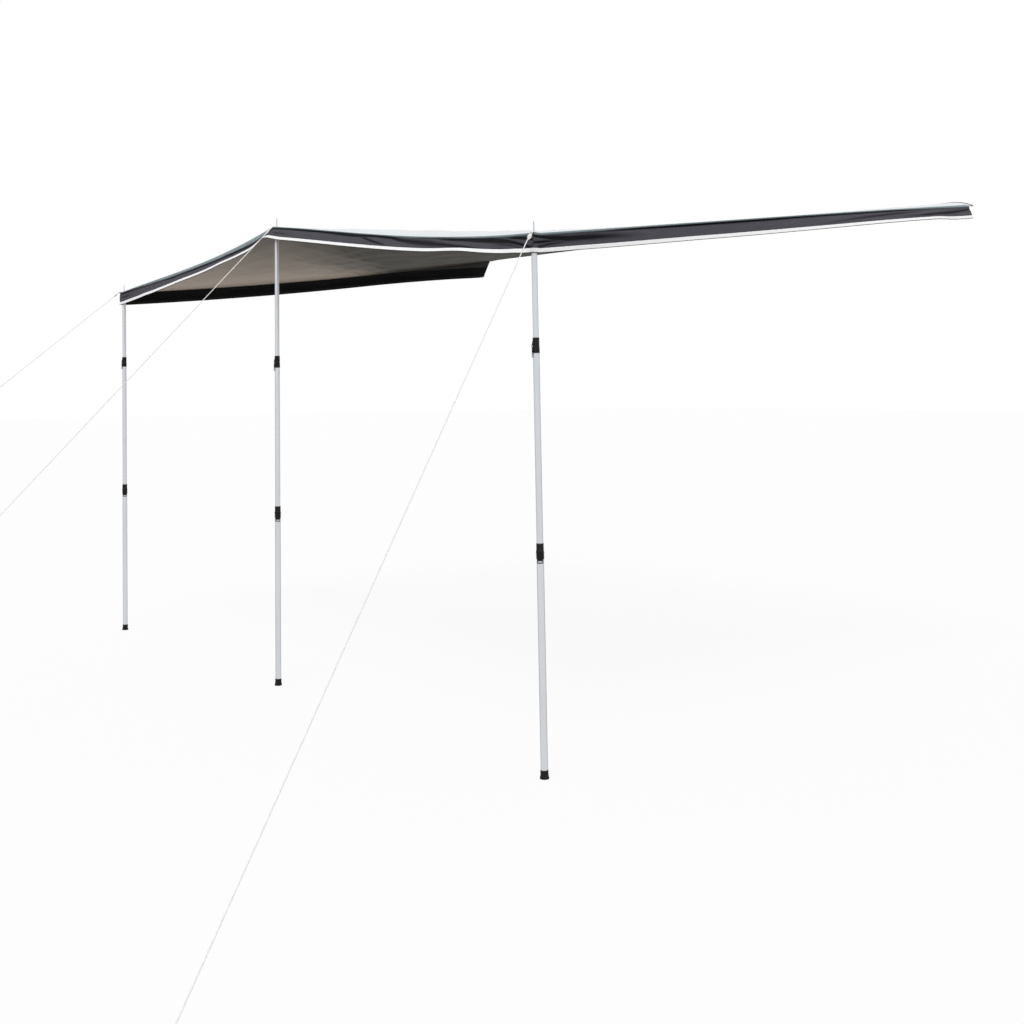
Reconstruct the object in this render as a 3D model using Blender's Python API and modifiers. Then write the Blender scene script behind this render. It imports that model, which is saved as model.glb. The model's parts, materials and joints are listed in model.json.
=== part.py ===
"""A caravan sun canopy: a sheet of cloth that slides into the awning rail of a caravan and stands on three
telescopic poles, with a hanging valance on its three free sides and a guy rope from each pole top.

Metres, +Z up. The origin is the middle of the welt bead in the awning rail, +Y points into the caravan and +X
runs along the rail to the right, as seen from in front. The ground is at z = -RAIL_HEIGHT.
"""

import math

import bmesh
import bpy
from mathutils import Matrix, Vector

# Set-up: where the canopy is hung and propped
RAIL_HEIGHT = 2.46  # the awning rail above the ground
DEPTH = 2.87  # from the rail out to the line of the poles
POLE_SPREAD = 4.11  # between the two corner poles
MIDDLE_POLE_X = -0.04  # the middle pole stands a little off the centre
CORNER_HEIGHT = 2.105  # cloth above the ground at the corner poles
MIDDLE_HEIGHT = 2.322
RIGHT_FOOT_OUT = 0.023  # the right pole leans: its foot is this far out to the side
RIGHT_FOOT_IN = 0.025  # and this far in towards the caravan

GAP = 0.0003  # between pieces that touch

# Roof cloth
CLOTH = 0.0015
EDGE_INSET = 0.018  # from a pole's axis to the edge of the roof
FRONT_SAG_LEFT = 0.029  # how far the front hem hangs below a straight line
FRONT_SAG_RIGHT = 0.026
FRONT_SAG_SKEW = 1.5  # above 1, the lowest point is nearer the right end
FRONT_BAND = 0.30  # how far in from the front hem that sag reaches
SIDE_SAG_LEFT = 0.030
SIDE_SAG_RIGHT = 0.006
SIDE_BAND = 0.13
CORNER_DROP_LEFT = 0.006  # the rear corners hang below the rail's end
CORNER_DROP_RIGHT = 0.029
MIDDLE_SAG = 0.030  # of the cloth between the rail, the front and the ridge
ROOF_COLUMNS = 8  # grid cells in each half, between the hem bands
ROOF_ROWS = 8

# Welt bead that slides into the rail
BEAD_R = 0.00375

# Valance and the white binding along its foot
VALANCE = 0.002
VALANCE_DROP = 0.061
LEFT_REAR_DROP = 0.108  # the left side valance is deeper at the caravan
REAR_DEEPENS = 1.1  # over this length
BINDING = 0.004
BINDING_DROP = 0.015
LEFT_END_CUT = 0.060  # the foot of the left side valance ends this far short of its top
RIGHT_END_CUT = 0.022
RIGHT_END_SHORT = 0.040  # the right side valance stops this far short of the rail
END_REACH = 0.15
FRONT_COLUMNS = 46
SIDE_COLUMNS = 30
FOLDS_FADE = 0.10  # over this length the folds die out at the ends of a strip
FOLD_FULL_AT = 0.77  # share of the drop at which a fold has its full depth

# How far the valance stands out from hanging straight: distance along it, degrees
FLARE_FRONT_LEFT = ((0.1, 0), (1.0, 22), (1.5, 27), (1.8, 25), (2.03, 42))
FLARE_FRONT_RIGHT = ((0.0, 42), (0.15, 33), (1.4, 31), (1.65, 37), (2.0, 12), (2.1, 0))
FLARE_SIDE_RIGHT = ((0.3, 0), (0.9, 12), (2.5, 37), (2.7, 28))
FLARE_SIDE_LEFT = ((0.0, 0), (2.8, 0))

# Folds in the valance: distance along it, how far the fold leans over its depth, half width, depth of fold
FOLDS_FRONT_RIGHT = (
    (0.55, 0.16, 0.060, 0.006),
    (0.85, 0.20, 0.070, 0.008),
    (1.30, 0.12, 0.110, 0.005),
    (1.70, 0.14, 0.060, 0.007),
    (1.93, -0.06, 0.050, 0.006),
)
FOLDS_FRONT_LEFT = (
    (0.35, 0.06, 0.080, 0.004),
    (0.95, 0.08, 0.120, 0.005),
    (1.55, -0.05, 0.100, 0.004),
)
FOLDS_SIDE_RIGHT = (
    (0.16, 0.05, 0.060, 0.006),
    (0.45, 0.14, 0.100, 0.005),
    (1.35, 0.10, 0.160, 0.005),
    (2.30, 0.20, 0.120, 0.006),
)
FOLDS_SIDE_LEFT = (
    (0.50, 0.08, 0.120, 0.005),
    (1.40, 0.10, 0.160, 0.005),
    (2.20, 0.10, 0.120, 0.006),
)

# Eyelets
EYELET_HOLE_R = 0.0065
EYELET_BARREL_R = 0.0080
EYELET_FLANGE_R = 0.0130
EYELET_FLANGE = 0.0008

# Poles: three tubes, each sliding in the next
TUBE_WALL = 0.0012
TOP_TUBE_R = 0.0110
TOP_TUBE_LENGTH = 0.93
MIDDLE_TUBE_LENGTH = 0.93
BOTTOM_COLLAR_TOP = 0.909  # height of the lower clamp's top above the ground
CORNER_COLLAR_TOP = 1.703  # and of the upper clamp's on a corner pole
MIDDLE_COLLAR_TOP = 1.672

# Plug and spigot in the top of a pole
SPIGOT_R = 0.00275
SPIGOT_LENGTH = 0.060  # above the centre of the plug's dome
PLUG_FLANGE = 0.003
PLUG_LENGTH = 0.035
DOME_STEPS = 5

# Cam clamps
COLLAR_HEIGHT = 0.060
COLLAR_WALL = 0.0011
COLLAR_ON_TUBE = 0.022  # how much of the collar sits on the outer tube
HOUSING_TOP = 0.006  # the housing of the cam starts this far below the collar's top
HOUSING_TOP_WIDTH = 0.85  # of the neck's width
HOUSING_ROUND = 0.0018
PIN_DROP = 0.0325  # the pin below the collar's top
PIN_R = 0.0015
PIN_HEAD_R = 0.0026
PIN_HEAD = 0.0015
NOSE_R = 0.0040  # the cam, from the pin to its furthest point
CAM_THROW = 0.0006
CHEEK = 0.0028  # housing in front of the pin
EAR = 0.0033  # housing beside the lever
LEVER_WIDTHS = {"upper": 0.0185, "lower": 0.0235}
LEVER_THICK = 0.0026
LEVER_REACH = 0.0445
LEVER_SLOT = 0.0070  # height of the finger slot in the lever's tip
LEVER_RIM = 0.003  # the frame that is left round the slot
# Where the upper and the lower lever face, degrees from +X
LEVERS_FACE = {"left": (-114, -22), "middle": (-120, -28), "right": (-130, -40)}

# Rubber feet
FOOT_HEIGHT = 0.034
FOOT_FLOOR = 0.005
FOOT_WALL = 0.0014
FOOT_FLARE_R = 0.0185
FOOT_FLARE_TOP = 0.0187  # the flare ends this high

# Guy ropes
ROPE_R = 0.002
ROPE_BEND_R = 0.0085
ROPE_PLAY = 0.00375  # between the spigot and the rope's eye
ROPE_ANGLES = {"left": 39.0, "middle": 45.5, "right": 39.0}  # below the level
ROPE_HEADINGS = {"left": -123.0, "middle": -90.0, "right": -57.0}  # degrees from +X, in plan
KNOT_AT = 0.060
KNOT_R = 0.0065
KNOT_LENGTH = 0.020
TAIL = 0.012
STRAND = 0.0024  # from the knot's middle to either strand
RUNNER_UP = 0.085  # the runner above the peg
RUNNER_DEPTH = 0.012
RUNNER_THICK = 0.006
RUNNER_RIM = 0.004
PEG_R = 0.004
PEG_UNDER_ROPE = 0.20
PEG_OVER_ROPE = 0.018
PEG_HOOK_R = 0.009
PEG_HOOK_TURN = 150.0  # degrees
PEG_POINT = 0.02
PEG_LOOP_HEIGHT = 0.035  # the rope's bend round the peg, above the ground

TURN_STEPS = 20
WELD = 0.00004  # points nearer than this become one after a cut

# Sizes that follow from those above
MIDDLE_TUBE_R = TOP_TUBE_R + GAP + TUBE_WALL
BOTTOM_TUBE_R = MIDDLE_TUBE_R + GAP + TUBE_WALL
HALF_WIDTH = POLE_SPREAD / 2 + EDGE_INSET
BACK_EDGE = -(BEAD_R + GAP)
FRONT_EDGE = -(DEPTH + EDGE_INSET)
FLAT_FROM = -(DEPTH - EDGE_INSET)
EYELET_HALF = CLOTH / 2 + GAP + EYELET_FLANGE
DOME_SEAT = math.sqrt((TOP_TUBE_R + GAP) ** 2 - EYELET_HOLE_R**2)
VALANCE_OUT = GAP + VALANCE / 2
POLES = {
    "left": (-POLE_SPREAD / 2, CORNER_HEIGHT, CORNER_COLLAR_TOP, (0.0, 0.0)),
    "middle": (MIDDLE_POLE_X, MIDDLE_HEIGHT, MIDDLE_COLLAR_TOP, (0.0, 0.0)),
    "right": (POLE_SPREAD / 2, CORNER_HEIGHT, CORNER_COLLAR_TOP, (RIGHT_FOOT_OUT, RIGHT_FOOT_IN)),
}

for old in list(bpy.data.objects):
    bpy.data.objects.remove(old)

parts = bpy.data.collections.new("caravan_sun_canopy")
cutters = bpy.data.collections.new("cutters")
cutters.hide_render = True
bpy.context.scene.collection.children.link(parts)
bpy.context.scene.collection.children.link(cutters)


def material(name, color, roughness, metallic=0.0):
    made = bpy.data.materials.new(name)
    made.use_nodes = True
    shader = made.node_tree.nodes["Principled BSDF"]
    shader.inputs["Base Color"].default_value = (*color, 1.0)
    shader.inputs["Roughness"].default_value = roughness
    shader.inputs["Metallic"].default_value = metallic
    return made


ROOF_CLOTH = material("roof_cloth", (0.42, 0.39, 0.35), 0.8)
VALANCE_CLOTH = material("valance_cloth", (0.035, 0.034, 0.042), 0.75)
BINDING_TAPE = material("binding_tape", (0.85, 0.85, 0.86), 0.6)
WELT = material("welt", (0.03, 0.03, 0.035), 0.5)
EYELET_METAL = material("eyelet_metal", (0.72, 0.72, 0.70), 0.3, 1.0)
ALUMINIUM = material("aluminium", (0.80, 0.81, 0.83), 0.35, 1.0)
ZINC_STEEL = material("zinc_steel", (0.62, 0.64, 0.66), 0.35, 1.0)
CLAMP_PLASTIC = material("clamp_plastic", (0.02, 0.02, 0.022), 0.45)
FOOT_RUBBER = material("foot_rubber", (0.025, 0.025, 0.025), 0.7)
ROPE_YARN = material("rope_yarn", (0.80, 0.80, 0.76), 0.8)
RUNNER_PLASTIC = material("runner_plastic", (0.03, 0.03, 0.03), 0.5)


def keep(obj, finish, parent=None):
    """Puts an object among the parts, with its material, on the empty that carries it."""
    parts.objects.link(obj)
    obj.data.materials.clear()
    obj.data.materials.append(finish)
    obj.parent = parent
    return obj


def as_cutter(obj):
    cutters.objects.link(obj)
    obj.hide_render = True
    obj.display_type = "WIRE"
    return obj


def smooth(mesh):
    mesh.shade_smooth()
    mesh.set_sharp_from_angle(angle=math.radians(40))


def baked(obj, name):
    """A plain mesh of the object with its modifiers applied, welded; the object itself is removed."""
    bpy.context.view_layer.update()
    graph = bpy.context.evaluated_depsgraph_get()
    mesh = bpy.data.meshes.new_from_object(obj.evaluated_get(graph))
    mesh.name = name
    work = bmesh.new()
    work.from_mesh(mesh)
    bmesh.ops.remove_doubles(work, verts=work.verts, dist=WELD)
    bmesh.ops.recalc_face_normals(work, faces=work.faces)
    work.to_mesh(mesh)
    work.free()
    bpy.data.objects.remove(obj)
    return mesh


def turned(name, profile, closed, steps=TURN_STEPS):
    """A profile of (radius, height) points that runs down its outer side, turned about Z."""
    mesh = bpy.data.meshes.new(name)
    work = bmesh.new()
    points = [work.verts.new((r, 0.0, z)) for r, z in profile]
    for a, b in zip(points, points[1:]):
        work.edges.new((a, b))
    if closed:
        work.edges.new((points[-1], points[0]))
    work.to_mesh(mesh)
    work.free()
    obj = bpy.data.objects.new(name, mesh)
    screw = obj.modifiers.new("Turn", "SCREW")
    screw.steps = steps
    screw.render_steps = steps
    screw.use_merge_vertices = True
    screw.merge_threshold = 0.00001
    screw.use_smooth_shade = False
    return obj


def ring_profile(inner, outer, top, bottom):
    return [(inner, top), (outer, top), (outer, bottom), (inner, bottom)]


def prism(name, outlines, depth):
    """Flat outlines in X and Z, the later ones holes in the first, made depth thick along Y."""
    curve = bpy.data.curves.new(name, "CURVE")
    curve.dimensions = "2D"
    curve.fill_mode = "BOTH"
    curve.extrude = depth / 2
    for outline in outlines:
        spline = curve.splines.new("POLY")
        spline.points.add(len(outline) - 1)
        for point, (x, z) in zip(spline.points, outline):
            point.co = (x, z, 0.0, 1.0)
        spline.use_cyclic_u = True
    obj = bpy.data.objects.new(name, curve)
    obj.matrix_world = Matrix.Rotation(math.radians(90), 4, "X")
    parts.objects.link(obj)
    upright = obj.matrix_world.copy()
    mesh = baked(obj, name)
    mesh.transform(upright)
    return bpy.data.objects.new(name, mesh)


def cylinder(name, radius, length, sides, turn=Matrix(), centre=(0.0, 0.0, 0.0)):
    """A cylinder along Z about its own middle, then turned and moved in its mesh."""
    mesh = bpy.data.meshes.new(name)
    work = bmesh.new()
    bmesh.ops.create_cone(
        work, cap_ends=True, segments=sides, radius1=radius, radius2=radius, depth=length
    )
    bmesh.ops.transform(work, matrix=Matrix.Translation(centre) @ turn, verts=work.verts)
    work.to_mesh(mesh)
    work.free()
    return bpy.data.objects.new(name, mesh)


def block(name, low, high):
    mesh = bpy.data.meshes.new(name)
    work = bmesh.new()
    bmesh.ops.create_cube(work, size=1.0)
    low, high = Vector(low), Vector(high)
    size = high - low
    bmesh.ops.transform(
        work,
        matrix=Matrix.Translation((low + high) / 2) @ Matrix.Diagonal((*size, 1.0)),
        verts=work.verts,
    )
    work.to_mesh(mesh)
    work.free()
    return bpy.data.objects.new(name, mesh)


def combine(obj, other, operation):
    step = obj.modifiers.new(other.name, "BOOLEAN")
    step.operation = operation
    step.object = other


def sheet(name, columns, rows, place, thickness, finish):
    """A cloth: a grid whose corner (column, row) lies at place(column, row), given its thickness."""
    mesh = bpy.data.meshes.new(name)
    work = bmesh.new()
    bmesh.ops.create_grid(work, x_segments=columns, y_segments=rows, size=0.5)
    for corner in work.verts:
        column = round((corner.co.x + 0.5) * columns)
        row = round((corner.co.y + 0.5) * rows)
        corner.co = place(column, row)
    work.to_mesh(mesh)
    work.free()
    smooth(mesh)
    obj = keep(bpy.data.objects.new(name, mesh), finish)
    shell = obj.modifiers.new("Thickness", "SOLIDIFY")
    shell.thickness = thickness
    shell.offset = 0.0
    return obj


def tube(name, points, radius, finish, taper=()):
    """A round bar or rope through the points; taper gives the share of the radius at the first points."""
    curve = bpy.data.curves.new(name, "CURVE")
    curve.dimensions = "3D"
    curve.bevel_depth = radius
    curve.bevel_resolution = 2
    curve.use_fill_caps = True
    spline = curve.splines.new("POLY")
    spline.points.add(len(points) - 1)
    for point, place in zip(spline.points, points):
        point.co = (*place, 1.0)
    for point, share in zip(spline.points, taper):
        point.radius = share
    spline.use_smooth = True
    return keep(bpy.data.objects.new(name, curve), finish)


def between(a, b, count):
    """The ends of count equal steps from a to b, without a."""
    return [a + (b - a) * i / count for i in range(1, count + 1)]


def ramp(value):
    """0 up to 0, 1 from 1 on, with a soft start."""
    held = min(max(value, 0.0), 1.0)
    return held * held


def arch(x, start, end, skew=1.0):
    """0 at both ends and 1 half way, or further on with a skew above 1."""
    share = min(max((x - start) / (end - start), 0.0), 1.0) ** skew
    return 4 * share * (1 - share)


# The roof: straight from the rail to the three pole tops, sagging at its free edges


def front_line(x):
    """Height of the taut front line, level over each eyelet."""
    tops = [(place, height - RAIL_HEIGHT) for place, height, _, _ in POLES.values()]
    knots = [(place + side * EDGE_INSET, top) for place, top in tops for side in (-1, 1)]
    for (x0, z0), (x1, z1) in zip(knots, knots[1:]):
        if x <= x1:
            return z0 + (z1 - z0) * min(max((x - x0) / (x1 - x0), 0.0), 1.0)
    return knots[-1][1]


def front_sag(x):
    inner = POLE_SPREAD / 2 - EDGE_INSET
    if x < MIDDLE_POLE_X:
        return FRONT_SAG_LEFT * arch(x, -inner, MIDDLE_POLE_X - EDGE_INSET, FRONT_SAG_SKEW)
    return FRONT_SAG_RIGHT * arch(x, MIDDLE_POLE_X + EDGE_INSET, inner, FRONT_SAG_SKEW)


def side_sag(x, share):
    """How far a side edge hangs at this share of the way from the front to the rail."""
    sag, drop = (SIDE_SAG_LEFT, CORNER_DROP_LEFT) if x < 0 else (SIDE_SAG_RIGHT, CORNER_DROP_RIGHT)
    return sag * 4 * share * (1 - share) + drop * share**3


def middle_sag(x, share):
    """How far the cloth between rail, front and ridge hangs; none over the poles."""
    across = arch(x, -HALF_WIDTH, MIDDLE_POLE_X) + arch(x, MIDDLE_POLE_X, HALF_WIDTH)
    return MIDDLE_SAG * across * math.sin(math.pi * share)


def roof_z(x, y):
    share = min(max((y - FLAT_FROM) / (BACK_EDGE - FLAT_FROM), 0.0), 1.0)
    front = front_sag(x) * ramp((FLAT_FROM + FRONT_BAND - y) / FRONT_BAND)
    side = side_sag(x, share) * ramp((abs(x) - HALF_WIDTH + SIDE_BAND) / SIDE_BAND)
    return front_line(x) * (1 - share) - front - side - middle_sag(x, share)


def make_roof():
    hem = 2 * EDGE_INSET
    xs = [-HALF_WIDTH, -HALF_WIDTH + hem, -HALF_WIDTH + (hem + SIDE_BAND) / 2, -HALF_WIDTH + SIDE_BAND]
    xs += between(xs[-1], MIDDLE_POLE_X - EDGE_INSET, ROOF_COLUMNS)
    xs += [MIDDLE_POLE_X + EDGE_INSET]
    xs += between(xs[-1], HALF_WIDTH - SIDE_BAND, ROOF_COLUMNS)
    xs += [HALF_WIDTH - (hem + SIDE_BAND) / 2, HALF_WIDTH - hem, HALF_WIDTH]
    ys = [BACK_EDGE] + between(BACK_EDGE, FLAT_FROM + FRONT_BAND, ROOF_ROWS)
    ys += between(ys[-1], FLAT_FROM, 3) + [FRONT_EDGE]

    def place(column, row):
        x, y = xs[column], ys[row]
        return x, y, roof_z(x, y)

    roof = sheet("roof", len(xs) - 1, len(ys) - 1, place, CLOTH, ROOF_CLOTH)
    for side, (x, height, _, _) in POLES.items():
        hole = cylinder(
            f"{side}_eyelet_hole",
            EYELET_BARREL_R + GAP,
            20 * CLOTH,
            TURN_STEPS,
            centre=(x, -DEPTH, height - RAIL_HEIGHT),
        )
        combine(roof, as_cutter(hole), "DIFFERENCE")


def make_rail_bead():
    last = HALF_WIDTH - BEAD_R
    inner = HALF_WIDTH - SIDE_BAND
    xs = [-last] + between(-last, -inner, 4) + between(-inner, inner, 12) + between(inner, last, 4)
    tube("rail_bead", [(x, 0.0, roof_z(x, BACK_EDGE)) for x in xs], BEAD_R, WELT)


# Valances and bindings: strips that hang from the roof's edge


def fold_out(along, fall, folds, length):
    """How far the folds push the cloth outwards; they die out at the seam and at both ends."""
    ends = ramp(along / FOLDS_FADE) * ramp((length - along) / FOLDS_FADE)
    push = sum(
        depth * math.exp(-(((along - at - lean * fall) / wide) ** 2)) for at, lean, wide, depth in folds
    )
    return push * ends * math.sin(math.pi / 2 * min(fall / FOLD_FULL_AT, 1.0))


def along_list(along, pairs):
    """A value that runs smoothly between the pairs of distance and value."""
    for (x0, y0), (x1, y1) in zip(pairs, pairs[1:]):
        if along < x1:
            share = min(max((along - x0) / (x1 - x0), 0.0), 1.0)
            return y0 + (y1 - y0) * share * share * (3 - 2 * share)
    return pairs[-1][1]


def hanging(edge, outward, length, drop, flare, folds, end_cut, trim):
    """Gives place(share, fall, below) on a strip with its seam on edge(along); fall is 1 at its foot."""

    def place(share, fall, below=0.0):
        along = trim[0] + share * (length - trim[0] - trim[1])
        seam = edge(along)
        direction = edge(1.0) - edge(0.0)
        direction.z = 0.0
        direction.normalize()
        down = drop(along) * fall + below
        cut = end_cut * ramp((along - length + END_REACH) / END_REACH)
        cut *= down / (drop(length) + BINDING_DROP)
        angle = math.radians(along_list(along, flare))
        out = VALANCE_OUT + down * math.sin(angle) + fold_out(along, fall, folds, length)
        return seam - direction * cut + outward * out - Vector((0.0, 0.0, down * math.cos(angle)))

    return place


def front_edge(start):
    def edge(along):
        x = start + along
        return Vector((x, FRONT_EDGE, roof_z(x, FRONT_EDGE) + CLOTH / 2))

    return edge


def side_edge(x):
    def edge(along):
        y = FRONT_EDGE + along
        return Vector((x, y, roof_z(x, y) + CLOTH / 2))

    return edge


def left_side_drop(along):
    deeper = ramp((along - (BACK_EDGE - FRONT_EDGE) + REAR_DEEPENS) / REAR_DEEPENS)
    return VALANCE_DROP + (LEFT_REAR_DROP - VALANCE_DROP) * deeper


def even_drop(_along):
    return VALANCE_DROP


def make_valance(name, columns, strip, end_cut, trim, binding_trim):
    cloth = hanging(*strip, end_cut, trim)
    tape = hanging(*strip, end_cut, binding_trim)
    sheet(f"{name}_valance", columns, 3, lambda i, j: cloth(i / columns, j / 3), VALANCE, VALANCE_CLOTH)
    sheet(
        f"{name}_binding",
        columns,
        1,
        lambda i, j: tape(i / columns, 1.0, GAP + j * BINDING_DROP),
        BINDING,
        BINDING_TAPE,
    )


def make_valances():
    over = VALANCE_OUT + VALANCE / 2  # a front strip covers the end of the side strip
    tape_over = VALANCE_OUT + BINDING / 2
    tape_back = BINDING / 2 - VALANCE_OUT + GAP
    left = MIDDLE_POLE_X + HALF_WIDTH
    right = HALF_WIDTH - MIDDLE_POLE_X
    side = BACK_EDGE - FRONT_EDGE
    forward, leftward, rightward = Vector((0, -1, 0)), Vector((-1, 0, 0)), Vector((1, 0, 0))
    front_left = front_edge(-HALF_WIDTH), forward, left, even_drop, FLARE_FRONT_LEFT, FOLDS_FRONT_LEFT
    front_right = front_edge(MIDDLE_POLE_X), forward, right, even_drop, FLARE_FRONT_RIGHT, FOLDS_FRONT_RIGHT
    side_right = side_edge(HALF_WIDTH), rightward, side, even_drop, FLARE_SIDE_RIGHT, FOLDS_SIDE_RIGHT
    side_left = side_edge(-HALF_WIDTH), leftward, side, left_side_drop, FLARE_SIDE_LEFT, FOLDS_SIDE_LEFT
    make_valance("front_left", FRONT_COLUMNS, front_left, 0.0, (-over, GAP), (-tape_over, GAP))
    make_valance("front_right", FRONT_COLUMNS, front_right, 0.0, (GAP, -over), (GAP, -tape_over))
    short = RIGHT_END_SHORT
    make_valance("right_side", SIDE_COLUMNS, side_right, RIGHT_END_CUT, (0.0, short), (tape_back, short))
    make_valance("left_side", SIDE_COLUMNS, side_left, LEFT_END_CUT, (0.0, 0.0), (tape_back, 0.0))


def make_eyelet(side):
    x, height, _, _ = POLES[side]
    grip = CLOTH / 2 + GAP
    profile = [
        (EYELET_HOLE_R, EYELET_HALF),
        (EYELET_FLANGE_R, EYELET_HALF),
        (EYELET_FLANGE_R, grip),
        (EYELET_BARREL_R, grip),
        (EYELET_BARREL_R, -grip),
        (EYELET_FLANGE_R, -grip),
        (EYELET_FLANGE_R, -EYELET_HALF),
        (EYELET_HOLE_R, -EYELET_HALF),
    ]
    eyelet = keep(turned(f"{side}_eyelet", profile, closed=True), EYELET_METAL)
    eyelet.location = (x, -DEPTH, height - RAIL_HEIGHT)


# Clamps: a collar on the end of the outer tube, and a cam lever that bears on the inner tube


def clamp_meshes(level, inner_r, outer_r):
    """The collar, lever and pin of one clamp. X points at the lever, and z = 0 is the collar's top."""
    bore = inner_r + GAP
    seat = outer_r + GAP
    body_r = seat + COLLAR_WALL
    neck_r = outer_r + COLLAR_WALL / 2
    width = LEVER_WIDTHS[level]
    pin_x = inner_r + GAP + NOSE_R
    shoulder = -(COLLAR_HEIGHT - COLLAR_ON_TUBE) + GAP
    ear_in = width / 2 + GAP
    ear_out = ear_in + EAR
    pin_z = -PIN_DROP
    taper_from = pin_z + NOSE_R / 4
    across = Matrix.Rotation(math.radians(90), 4, "X")

    outside = [
        (0.0, 0.0),
        (neck_r - COLLAR_WALL / 2, 0.0),
        (neck_r, -COLLAR_WALL / 2),
        (neck_r, shoulder + COLLAR_WALL),
        (body_r, shoulder - COLLAR_WALL),
        (body_r, -COLLAR_HEIGHT),
        (0.0, -COLLAR_HEIGHT),
    ]
    collar = turned(f"{level}_collar", outside, closed=False)
    parts.objects.link(collar)
    housing_outline = [
        (0.0, -HOUSING_TOP),
        (neck_r - COLLAR_WALL, -HOUSING_TOP),
        (pin_x + CHEEK - HOUSING_ROUND, pin_z + 1.5 * NOSE_R),
        (pin_x + CHEEK, taper_from),
        (pin_x + CHEEK, pin_z - NOSE_R / 2),
        (pin_x + CHEEK - HOUSING_ROUND, pin_z - NOSE_R + 2 * GAP),
        (0.0, pin_z - NOSE_R + 2 * GAP),
    ]
    housing = prism(f"{level}_housing", [housing_outline], 2 * ear_out)
    for corner in housing.data.vertices:
        rise = max(corner.co.z - taper_from, 0.0) / (-HOUSING_TOP - taper_from)
        corner.co.y *= 1 + rise * (HOUSING_TOP_WIDTH * neck_r / ear_out - 1)
    helpers = [as_cutter(housing)]
    combine(collar, housing, "UNION")
    hollow = turned(
        f"{level}_bore",
        [
            (0.0, COLLAR_WALL),
            (bore, COLLAR_WALL),
            (bore, shoulder),
            (seat, shoulder),
            (seat, -COLLAR_HEIGHT - COLLAR_WALL),
            (0.0, -COLLAR_HEIGHT - COLLAR_WALL),
        ],
        closed=False,
    )
    window = block(
        f"{level}_window",
        (0.0, -ear_in, pin_z - NOSE_R - GAP),
        (pin_x + NOSE_R, ear_in, pin_z + NOSE_R + GAP),
    )
    pin_hole = cylinder(
        f"{level}_pin_hole", PIN_R + GAP, 4 * ear_out, 12, across, (pin_x, 0.0, pin_z)
    )
    for cutter in (hollow, window, pin_hole):
        helpers.append(as_cutter(cutter))
        combine(collar, cutter, "DIFFERENCE")
    collar_mesh = baked(collar, f"{level}_collar")

    arm_in = body_r + GAP
    arm_out = arm_in + LEVER_THICK
    cam_r = NOSE_R - CAM_THROW
    cam_x = pin_x - CAM_THROW
    nose = [
        (cam_x + cam_r * math.cos(math.radians(a)), pin_z + cam_r * math.sin(math.radians(a)))
        for a in range(-30, 241, 30)
    ]
    tip = pin_z - LEVER_REACH
    lever_outline = nose + [
        (arm_in, pin_z - 1.5 * NOSE_R),
        (arm_in, tip + LEVER_THICK / 2),
        (arm_in + LEVER_THICK / 2, tip),
        (arm_out, tip + LEVER_THICK / 4),
        (arm_out, pin_z - NOSE_R),
    ]
    pin_ring = [
        (
            pin_x + (PIN_R + GAP) * math.cos(math.radians(a)),
            pin_z + (PIN_R + GAP) * math.sin(math.radians(a)),
        )
        for a in range(0, 360, 30)
    ]
    lever = prism(f"{level}_lever", [lever_outline, pin_ring], width)
    parts.objects.link(lever)
    slot = block(
        f"{level}_slot",
        (arm_in - LEVER_THICK, -width / 2 + LEVER_RIM, tip + LEVER_RIM),
        (arm_out + LEVER_THICK, width / 2 - LEVER_RIM, tip + LEVER_RIM + LEVER_SLOT),
    )
    helpers.append(as_cutter(slot))
    combine(lever, slot, "DIFFERENCE")
    lever_mesh = baked(lever, f"{level}_lever")
    lever_mesh.transform(Matrix.Translation((-pin_x, 0.0, -pin_z)))

    end = ear_out + GAP
    pin_profile = [
        (0.0, end + PIN_HEAD),
        (PIN_HEAD_R, end + PIN_HEAD),
        (PIN_HEAD_R, end),
        (PIN_R, end),
        (PIN_R, -end),
        (PIN_HEAD_R, -end),
        (PIN_HEAD_R, -end - PIN_HEAD),
        (0.0, -end - PIN_HEAD),
    ]
    pin = turned(f"{level}_pin", pin_profile, closed=False, steps=8)
    parts.objects.link(pin)
    pin_mesh = baked(pin, f"{level}_pin")
    pin_mesh.transform(across)
    for helper in helpers:
        bpy.data.objects.remove(helper)
    return {"collar": collar_mesh, "lever": lever_mesh, "pin": pin_mesh, "pin_x": pin_x, "pin_z": pin_z}


def pivot(name, parent, matrix):
    empty = bpy.data.objects.new(name, None)
    parts.objects.link(empty)
    empty.parent = parent
    empty.matrix_local = matrix
    return empty


def add_clamp(side, level, meshes, carrier, top, facing):
    """Sets a clamp's three pieces on a pole, with its top at height top in the pole's own frame."""
    turn = Matrix.Translation((0.0, 0.0, top)) @ Matrix.Rotation(math.radians(facing), 4, "Z")
    collar = keep(
        bpy.data.objects.new(f"{side}_{level}_clamp_collar", meshes["collar"].copy()), CLAMP_PLASTIC, carrier
    )
    collar.matrix_local = turn
    hinge = pivot(
        f"{side}_{level}_clamp_hinge",
        carrier,
        turn @ Matrix.Translation((meshes["pin_x"], 0.0, meshes["pin_z"])),
    )
    keep(bpy.data.objects.new(f"{side}_{level}_clamp_lever", meshes["lever"].copy()), CLAMP_PLASTIC, hinge)
    keep(bpy.data.objects.new(f"{side}_{level}_clamp_pin", meshes["pin"].copy()), ZINC_STEEL, hinge)


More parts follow.
